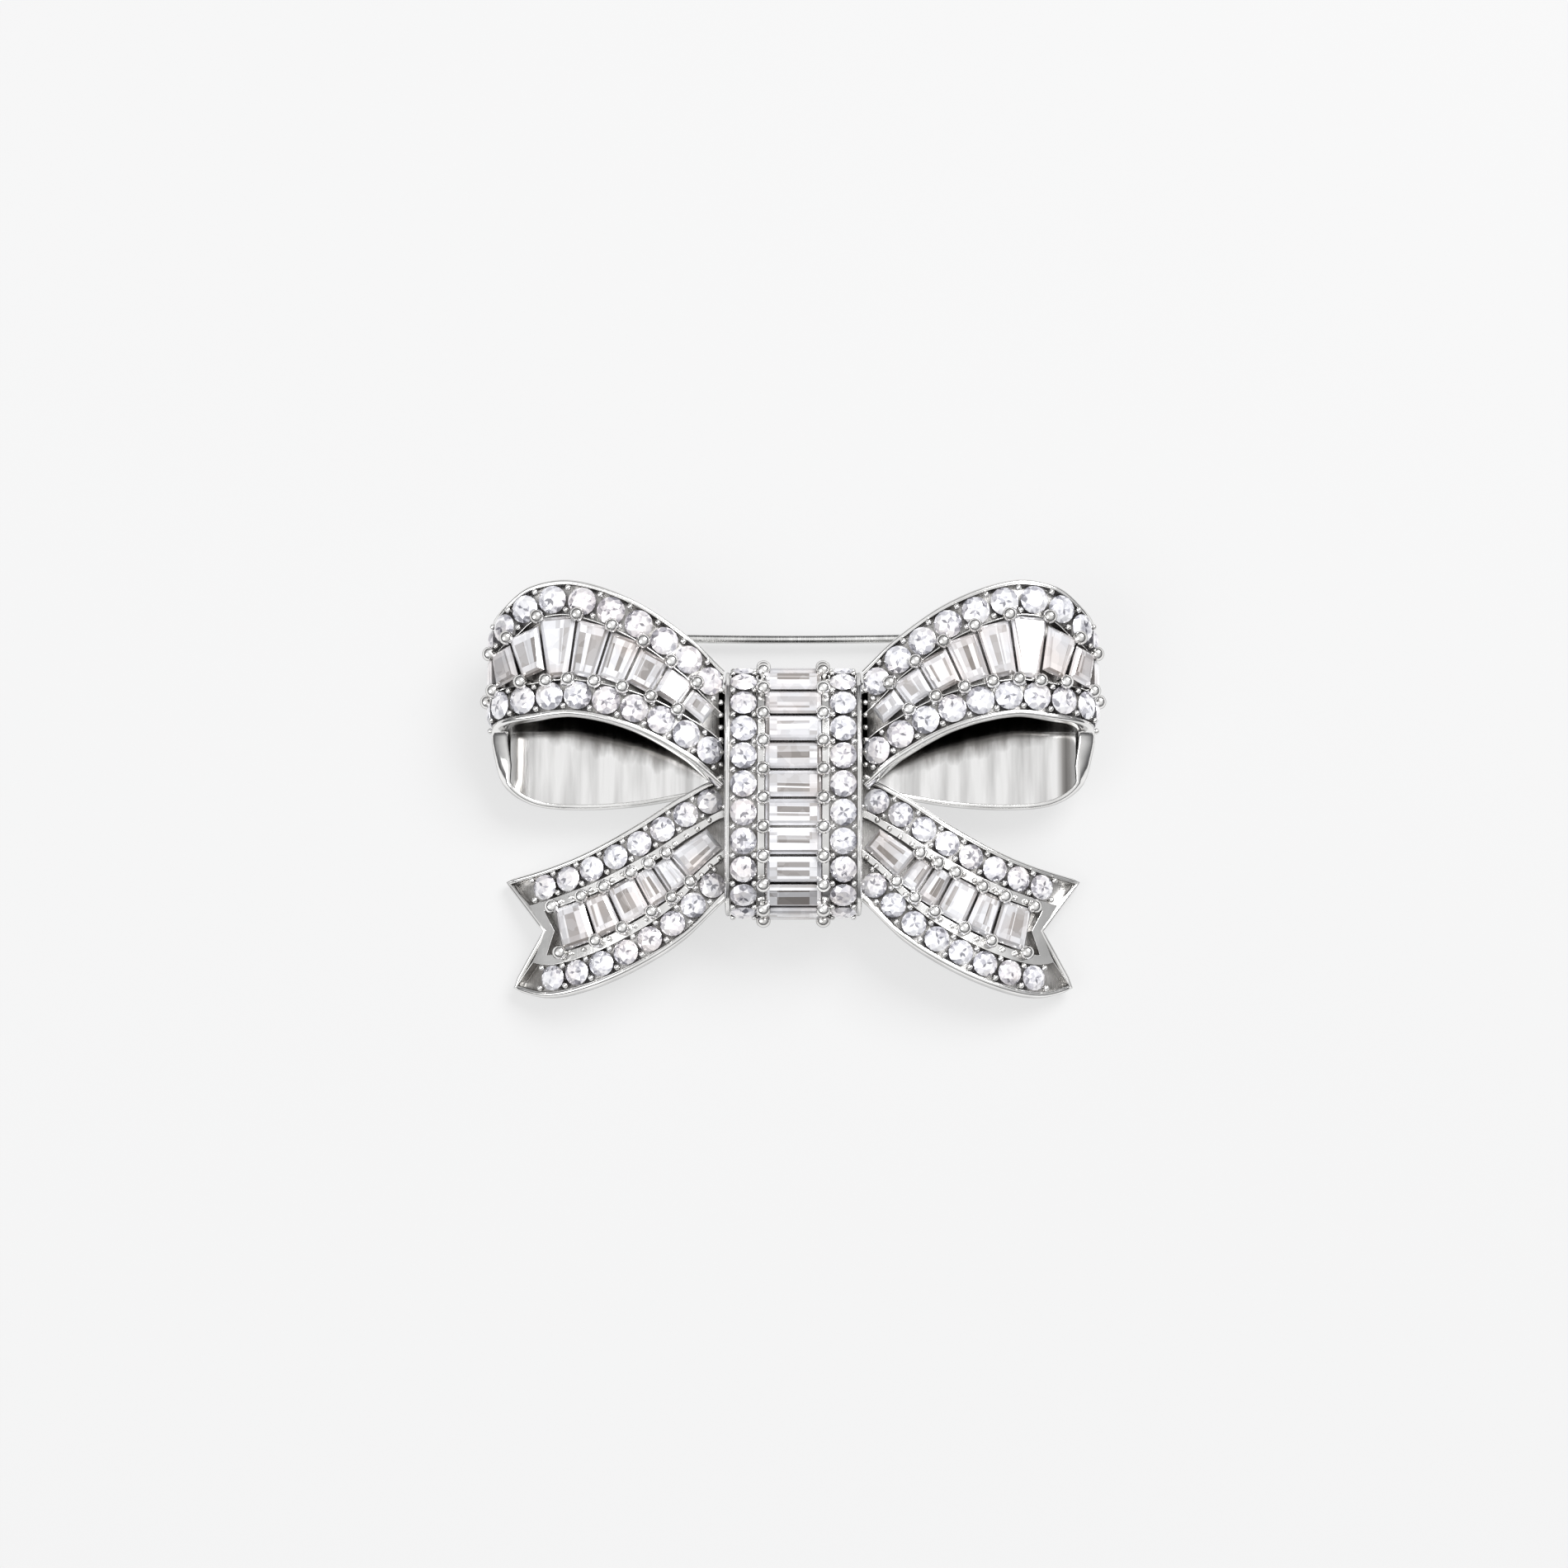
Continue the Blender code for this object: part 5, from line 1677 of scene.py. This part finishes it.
@dataclass
class Tail(Strand):
    """A tail with a swallowtail end, set with stones up to its plain tips."""

    kind = "tail"
    rounds = 8
    shares = (3.1, 1.45, 1.45, 2.1, 1.8, 2.4)
    fill = 0.7
    metal = 1.3 * MM
    sections = 36
    root_rise = 4.9 * MM
    notch_depth = 3.6
    notch_place = 0.5
    notch_rim = 1.3
    tip_rim = 2.5
    low_setback = 0.8
    knot_width = 10.7 * MM
    solder_gap = 0.3 * MM
    root = 3.6 * MM
    root_tuck = 0.78
    first_share = 0.04
    fit_steps = 8
    edge_steps = 40
    end_steps = 16
    wall_beads = 15
    wall_bead_first = 0.3
    wall_bead_reach = 0.38 * MM
    outline = (
        (3.60, 0.97, -7.00, -0.45),
        (5.65, 0.98, -8.80, 0.60),
        (9.00, 1.00, -12.0, -0.80),
        (13.0, 0.88, -14.4, -3.20),
        (17.0, 0.66, -15.95, -5.20),
        (20.5, 0.34, -16.45, -6.35),
        (23.7, 0.00, -15.50, -7.05),
    )

    def ribbon(self) -> Ribbon:
        """Return the strip from the core out, with its tip lying on the ground.

        Returns:
            The strip.
        """
        low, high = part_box("knot_band")
        inner = (high.y - low.y) / 2 - Knot.metal
        centre = (high.y + low.y) / 2
        rows = []
        for x, rise, low_edge, high_edge in self.outline:
            edges = low_edge * self.drawn_y, high_edge * self.drawn_y
            rows.append([x * self.drawn_x, rise * self.root_rise, *edges])
        rows[0][0] = self.root
        rows[0][2] = centre - self.root_tuck * inner
        rows[1][0] = self.knot_width / 2 + self.solder_gap
        rows[1][2] = centre - inner
        ribbon = Ribbon(spline(rows, 10), Vector((0, 1, 0)), Vector((1, 0, 0)))
        underside = ribbon.point(ribbon.length, 0, -self.metal).z
        for row in ribbon.rows:
            row[1] -= underside
        return ribbon

    def reach(self, ribbon: Ribbon, place: float) -> float:
        """Return how far a line goes before the swallowtail end.

        Args:
            ribbon: The strip.
            place: The line's place across the strip's end.

        Returns:
            The length along the strip where the line ends.
        """
        low, high = ribbon.rows[-1][2:]
        share = max(0.0, min(1.0, (place - low) / (high - low)))
        if share < self.notch_place:
            depth = self.low_setback + (self.notch_depth - self.low_setback) * share / self.notch_place
        else:
            depth = self.notch_depth * (1 - share) / (1 - self.notch_place)
        return ribbon.length - depth * self.drawn_x

    def build(self) -> None:
        """Make the tail's casting, stones, prongs and beads."""
        ribbon = self.ribbon()
        shoulder = 0.0
        while ribbon.at(shoulder)[0] < self.knot_width / 2 + self.solder_gap:
            shoulder += ribbon.length / 400
        start = shoulder + SETTING.seat_clearance
        high_end = ribbon.length - self.tip_rim * self.drawn_x
        low_end = high_end - self.low_setback * self.drawn_x
        middle_end = ribbon.length - (self.notch_depth + self.notch_rim) * self.drawn_x
        diameter = self.round_diameter(ribbon, start, (low_end, high_end), self.rounds)
        low, high = self.row_lines(ribbon, diameter)
        half = diameter / 2 + SETTING.seat_clearance
        middle, clear = self.room_between(ribbon, low, high, half)

        def room(s: float) -> float:
            """Return the baguettes' room at s."""
            return self.fill * clear(s)

        seat = (middle, lambda s: room(s) / 2 + SETTING.seat_clearance)
        rows = ((low, fixed(half)), seat, (high, fixed(half)))
        casting = self.casting(ribbon, rows, (start, low_end, middle_end, high_end))
        beads, prongs, rim = Blank(self.side), Blank(self.side), Blank(self.side)
        for label, line, end in (("low", low, low_end), ("high", high, high_end)):
            row = StoneLine(ribbon, start, end, line)
            self.set_rounds(f"{self.prefix}_rounds_{label}", row, self.rounds, diameter)
            self.bead_rows(beads, row, self.rounds, diameter)
        row = StoneLine(ribbon, start, middle_end, middle)
        self.set_baguettes(row, room, prongs, beads)
        Rim().add(rim, casting, self.outline_path(ribbon))
        self.finish_metal(casting, rim, beads, prongs, self.prefix)

    def casting(self, ribbon: Ribbon, rows: Sequence[tuple[Line, Line]],
                ends: tuple[float, float, float, float]) -> Casting:
        """Return the tail's metal strip.

        Args:
            ribbon: The strip.
            rows: Each row's middle line and half width.
            ends: Where the stones start, and where the low row, the baguettes and the high row end.

        Returns:
            The tail's casting.
        """
        start, low_end, middle_end, high_end = ends
        runout = SETTING.channel_runout
        places = self.channel_lines(ribbon, rows, start - runout, ribbon.length)
        places.insert(4, rows[1][0])
        lines = [(self.reach(ribbon, place(ribbon.length)), place) for place in places]
        stop = max((low_end + runout) / lines[2][0], (high_end + runout) / lines[6][0])
        middle_stop = (middle_end + runout) / lines[4][0]
        first = (start - runout) / ribbon.length
        shares = [0.0]
        shares += [first + (middle_stop - first) * step / self.sections for step in range(self.sections + 1)]
        shares += [(middle_stop + stop) / 2, stop, 1.0]
        deep = SETTING.round_depth(2 * (rows[0][1](0) - SETTING.seat_clearance))
        channels = [
            Channel(1, 2, 1, self.sections + 3, deep),
            Channel(3, 5, 1, self.sections + 1, SETTING.step_depth()),
            Channel(6, 7, 1, self.sections + 3, deep),
        ]
        return Casting(ribbon, lines, shares, channels, fixed(self.metal))

    def outline_path(self, ribbon: Ribbon) -> list[tuple[float, float]]:
        """Return the path of the tail's edge: out along its low side, round the tips and back.

        Args:
            ribbon: The strip.

        Returns:
            Places along and across the strip.
        """
        path = []
        low_end = self.reach(ribbon, ribbon.low(ribbon.length))
        for step in range(self.edge_steps + 1):
            s = low_end * step / self.edge_steps
            path.append((s, ribbon.low(s)))
        for step in range(1, self.end_steps):
            share = step / self.end_steps
            v = ribbon.low(ribbon.length) * (1 - share) + ribbon.high(ribbon.length) * share
            path.append((self.reach(ribbon, v), v))
        for step in range(self.edge_steps + 1):
            s = ribbon.length * (1 - step / self.edge_steps)
            path.append((s, ribbon.high(s)))
        return path

    def set_baguettes(self, row: StoneLine, room: Line, prongs: Blank, beads: Blank) -> None:
        """Set the tapered stone and the baguettes, with prongs and small beads beside them.

        Args:
            row: The line that the stones sit on.
            room: The clear width for the baguettes at each place.
            prongs: The prongs' mesh in the making.
            beads: The beads' mesh in the making.
        """
        start = self.first_share * row.length
        scale = (row.length - start) / sum(self.shares)
        for index, share in enumerate(self.shares):
            end = start + share * scale
            place = row.frame((start + end) / 2)
            if index == 0:
                place = place @ Matrix.Rotation(-math.pi / 2, 4, "Z")
                size = end - start - SETTING.baguette_gap
                sides = tuple((-half, half) for half in self.tapered_halves(row, room, start, end))
            else:
                size = self.least_room(row, room, start, end)
                sides = self.sides_between(row, start, end, size)
            node = f"{self.prefix}_baguette_{index + 1}"
            self.set_baguette(f"{node}_cut", place, sides, size, node)
            across = room(row.reach(end)) / 2 + SETTING.prong_reach
            self.raise_pair(PRONG, prongs, row, end, across)
            start = end
        for step in range(self.wall_beads):
            distance = row.length * (step + self.wall_bead_first) / self.wall_beads
            across = room(row.reach(distance)) / 2 + self.wall_bead_reach
            self.raise_pair(SMALL_BEAD, beads, row, distance, across)

    def tapered_halves(self, row: StoneLine, room: Line, start: float,
                       end: float) -> tuple[float, float]:
        """Return the half widths at the ends of a straight taper that fits the room all along.

        Args:
            row: The line that the stones sit on.
            room: The clear width for the baguettes at each place.
            start: Where the stone starts along the row.
            end: Where it ends.

        Returns:
            The half widths at its start and at its end.
        """
        steps = self.fit_steps
        halves = []
        for step in range(steps + 1):
            distance = start + (end - start) * step / steps
            halves.append(room(row.reach(distance)) / 2 - SETTING.seat_clearance)
        first, last = halves[0], halves[-1]
        fit = min(half / (first + (last - first) * step / steps) for step, half in enumerate(halves))
        return first * fit, last * fit


@dataclass
class Knot(Strand):
    """The band across the middle, with a column of baguettes between two rows of round stones."""

    kind = "band"
    rows_of_stones = 11
    baguettes = 9
    squareness = 2.4
    rim_height = 5.0 * MM
    band_width = 10.7 * MM
    band_length = 19.9 * MM
    baguette_length = 4.5 * MM
    metal = 1.4 * MM
    sections = 60
    profile_steps = 80
    end_steps = 5
    edge_half_width = 0.2 * MM
    prong_margin = 0.3 * MM
    prong_share = 1.4
    first_share = 0.3

    def __post_init__(self) -> None:
        """Name the band's pieces after the knot."""
        super().__post_init__()
        self.prefix = "knot"

    def ribbon(self) -> Ribbon:
        """Return the strip over a squared half ellipse, from the top end to the bottom end.

        Returns:
            The strip.
        """
        low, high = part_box("knot_band")
        crest = high.z
        centre = (low.y + high.y) / 2
        rows = []
        for index in range(self.profile_steps + 1):
            angle = math.pi * index / self.profile_steps
            reach = math.copysign(abs(math.cos(angle)) ** (2 / self.squareness), math.cos(angle))
            rise = abs(math.sin(angle)) ** (2 / self.squareness)
            y = centre + reach * self.band_length / 2
            z = self.rim_height + rise * (crest - self.rim_height)
            rows.append(Vector((y, z, -self.band_width / 2, self.band_width / 2)))
        return Ribbon(rows, Vector((1, 0, 0)), Vector((0, 1, 0)))

    def build(self) -> None:
        """Make the band's casting, stones, prongs and beads."""
        ribbon = self.ribbon()
        end = ribbon.length - SETTING.rim
        middle = StoneLine(ribbon, SETTING.rim, end, fixed(0.0))
        pitch = middle.length / self.rows_of_stones
        diameter = pitch - SETTING.stone_gap
        half = diameter / 2 + SETTING.seat_clearance
        offset = self.band_width / 2 - SETTING.rim - half
        casting = self.casting(ribbon, offset, half)
        beads, prongs, rim = Blank(self.side), Blank(self.side), Blank(self.side)
        for label, place in (("left", -offset), ("right", offset)):
            row = StoneLine(ribbon, SETTING.rim, end, fixed(place))
            self.set_rounds(f"knot_rounds_{label}", row, self.rows_of_stones, diameter)
            self.bead_rows(beads, row, self.rows_of_stones, diameter)
        self.set_baguettes(middle, pitch, prongs)
        self.add_rim(rim, ribbon, casting)
        self.finish_metal(casting, rim, beads, prongs, "knot_band")

    def casting(self, ribbon: Ribbon, offset: float, half: float) -> Casting:
        """Return the band's metal strip.

        Args:
            ribbon: The strip.
            offset: How far the rows of round stones lie from the middle.
            half: Half the width of a round stones' channel.

        Returns:
            The band's casting.
        """
        seat = self.baguette_length / 2 + SETTING.seat_clearance
        rows = ((fixed(-offset), fixed(half)), (fixed(0.0), fixed(seat)), (fixed(offset), fixed(half)))
        lines = [(ribbon.length, place) for place in self.channel_lines(ribbon, rows, 0.0, ribbon.length)]
        first = self.first_share * SETTING.rim / ribbon.length
        shares = [0.0]
        shares += [first + (1 - 2 * first) * step / self.sections for step in range(self.sections + 1)]
        shares.append(1.0)
        deep = SETTING.round_depth(2 * (half - SETTING.seat_clearance))
        channels = [
            Channel(1, 2, 1, self.sections + 1, deep),
            Channel(3, 4, 1, self.sections + 1, SETTING.step_depth()),
            Channel(5, 6, 1, self.sections + 1, deep),
        ]
        return Casting(ribbon, lines, shares, channels, fixed(self.metal))

    def set_baguettes(self, middle: StoneLine, pitch: float, prongs: Blank) -> None:
        """Set the column of baguettes with a prong at each end of each gap.

        Args:
            middle: The line down the middle of the band.
            pitch: The distance from stone to stone.
            prongs: The prongs' mesh in the making.
        """
        skipped = (self.rows_of_stones - self.baguettes) // 2
        half = (pitch - SETTING.baguette_gap) / 2
        for index in range(self.rows_of_stones):
            number = index - skipped + 1
            known = 1 <= number <= self.baguettes
            node = f"knot_baguette_{number}" if known else None
            name = f"{node}_cut" if known else f"knot_end_baguette_{'top' if index == 0 else 'bottom'}"
            sides = ((-half, half), (-half, half))
            place = middle.frame(pitch * (index + 0.5))
            self.set_baguette(name, place, sides, self.baguette_length, node)
        for index in range(self.rows_of_stones + 1):
            distance = min(max(pitch * index, self.prong_margin), middle.length - self.prong_margin)
            across = self.baguette_length / 2 + self.prong_share * SETTING.prong_reach
            self.raise_pair(PRONG, prongs, middle, distance, across)

    def add_rim(self, rim: Blank, ribbon: Ribbon, casting: Casting) -> None:
        """Edge the band all round.

        Args:
            rim: The rim's mesh in the making.
            ribbon: The strip.
            casting: The strand's metal strip.
        """
        steps, across = self.sections, range(1, 2 * self.end_steps)
        half = self.band_width / 2
        path = [(ribbon.length * step / steps, half) for step in range(steps + 1)]
        path += [(ribbon.length, half * (1 - step / self.end_steps)) for step in across]
        path += [(ribbon.length * (1 - step / steps), -half) for step in range(steps + 1)]
        path += [(0.0, half * (step / self.end_steps - 1)) for step in across]
        Rim(half_width=self.edge_half_width).add(rim, casting, path, closed=True)


# ---------------------------------------------------------------- findings and studio


@dataclass
class Findings:
    """The pin, its hinge and its catch, and the plate behind the knot."""

    finishes: Finishes
    steel_nodes: tuple[str, ...] = ("hinge_bracket", "hinge_rivet", "pin_stem", "catch_body", "catch_collar")

    def build(self) -> None:
        """Dress the carried solids."""
        for name in self.steel_nodes:
            self.dress(name, self.finishes.steel)
        self.dress("back_plate", self.finishes.polished)

    def dress(self, name: str, material: bpy.types.Material) -> None:
        """Give a carried solid its finish.

        Args:
            name: The solid's name.
            material: Its finish.
        """
        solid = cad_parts[name]
        if not solid.material_slots:
            solid.data.materials.append(material)
        for slot in solid.material_slots:
            slot.material = material
        LOG.info("%s: dressed in %s", name, material.name)


@dataclass
class Studio:
    """The pale ground, the soft lights and the camera.

    Attributes:
        distance: From the camera to what it looks at.
        elevation: The camera's angle above the ground, in degrees.
        lens: Its focal length in millimetres.
        aim: The point it looks at, near the middle of the bow.
        key: The key light's place, size and power in watts.
        fill: The fill light's place, size and power in watts.
        world_strength: The strength of the light from all round.
        ground_half: Half the ground's width.
        ground_glow: How much light the ground gives of its own, like a light table.
    """

    distance: float = 0.3546
    elevation: float = 81.0
    lens: float = 100.0
    aim: tuple[float, float, float] = (-0.75 * MM, 0.51 * MM, 5.0 * MM)
    key: tuple[Colour, float, float] = ((0.30, 0.34, 0.55), 0.40, 4.6)
    fill: tuple[Colour, float, float] = ((-0.45, -0.20, 0.50), 0.45, 1.6)
    world_strength: float = 0.85
    ground_half: float = 1.5
    ground_glow: float = 0.63

    def build(self) -> None:
        """Set up the ground, the lights, the world and the camera."""
        self.ground()
        self.light("key_light", *self.key)
        self.light("fill_light", *self.fill)
        self.world()
        self.camera()

    def ground(self) -> None:
        """Lay the pale ground."""
        blank = Blank(Side.MIDDLE)
        half = self.ground_half
        corners = ((-half, -half), (half, -half), (half, half), (-half, half))
        blank.face([blank.add(Vector((x, y, -0.02 * MM))) for x, y in corners])
        material = bpy.data.materials.new("pale_ground")
        material.use_nodes = True
        tree = material.node_tree
        shader = tree.nodes["Principled BSDF"]
        shader.inputs["Roughness"].default_value = 0.75
        shader.inputs["Specular IOR Level"].default_value = 0.0
        shader.inputs["Emission Color"].default_value = (*WHITE, 1.0)
        shader.inputs["Emission Strength"].default_value = self.ground_glow
        noise = tree.nodes.new("ShaderNodeTexNoise")
        noise.inputs["Scale"].default_value = 18.0
        colours = ramp(tree, ((0.3, (0.195, 0.195, 0.196)), (0.7, (0.205, 0.205, 0.206))))
        tree.links.new(noise.outputs["Fac"], colours.inputs["Fac"])
        tree.links.new(colours.outputs["Color"], shader.inputs["Base Color"])
        blank.build("ground", [material])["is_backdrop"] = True

    def light(self, name: str, place: tuple[float, float, float], size: float, watts: float) -> None:
        """Hang one square soft light that faces the bow.

        Args:
            name: The light's name.
            place: Where it hangs.
            size: Its side.
            watts: Its power.
        """
        lamp = bpy.data.lights.new(name, "AREA")
        lamp.size = size
        lamp.energy = watts
        holder = bpy.data.objects.new(name, lamp)
        holder.location = place
        holder.rotation_euler = Vector(place).to_track_quat("Z", "Y").to_euler()
        bpy.context.scene.collection.objects.link(holder)

    def world(self) -> None:
        """Light the scene from a dome that is bright above and dim at the horizon."""
        world = bpy.data.worlds.new("studio")
        bpy.context.scene.world = world
        world.use_nodes = True
        tree = world.node_tree
        place = tree.nodes.new("ShaderNodeTexCoord")
        split = tree.nodes.new("ShaderNodeSeparateXYZ")
        colours = ramp(tree, ((0.0, (0.05, 0.05, 0.052)), (0.3, (0.22, 0.22, 0.225)), (0.85, WHITE)))
        background = tree.nodes["Background"]
        background.inputs["Strength"].default_value = self.world_strength
        tree.links.new(place.outputs["Generated"], split.inputs["Vector"])
        tree.links.new(split.outputs["Z"], colours.inputs["Fac"])
        tree.links.new(colours.outputs["Color"], background.inputs["Color"])

    def camera(self) -> None:
        """Look down on the bow from a little in front."""
        lens = bpy.data.cameras.new("camera")
        lens.lens = self.lens
        lens.clip_start = 0.01
        holder = bpy.data.objects.new("camera", lens)
        angle = math.radians(self.elevation)
        back = Vector((0, -math.cos(angle), math.sin(angle)))
        holder.location = Vector(self.aim) + back * self.distance
        holder.rotation_euler = back.to_track_quat("Z", "Y").to_euler()
        bpy.context.scene.collection.objects.link(holder)
        bpy.context.scene.camera = holder
        bpy.context.scene.view_settings.view_transform = "Standard"


def main() -> None:
    """Dress the frame and set up the studio."""
    logging.basicConfig(level=logging.INFO, format="%(message)s")
    cad_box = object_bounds()
    low, high = (Vector(corner) for corner in cad_box)
    finishes = Finishes()
    width, height = high.x - low.x, high.y - low.y
    for seed, side in enumerate((Side.LEFT, Side.RIGHT)):
        Loop(side, finishes, width, height, seed=11 + seed).build()
        Tail(side, finishes, width, height, seed=21 + seed).build()
    Knot(Side.MIDDLE, finishes, width, height, seed=31).build()
    Findings(finishes).build()
    Studio().build()


if __name__ == "__main__":
    main()
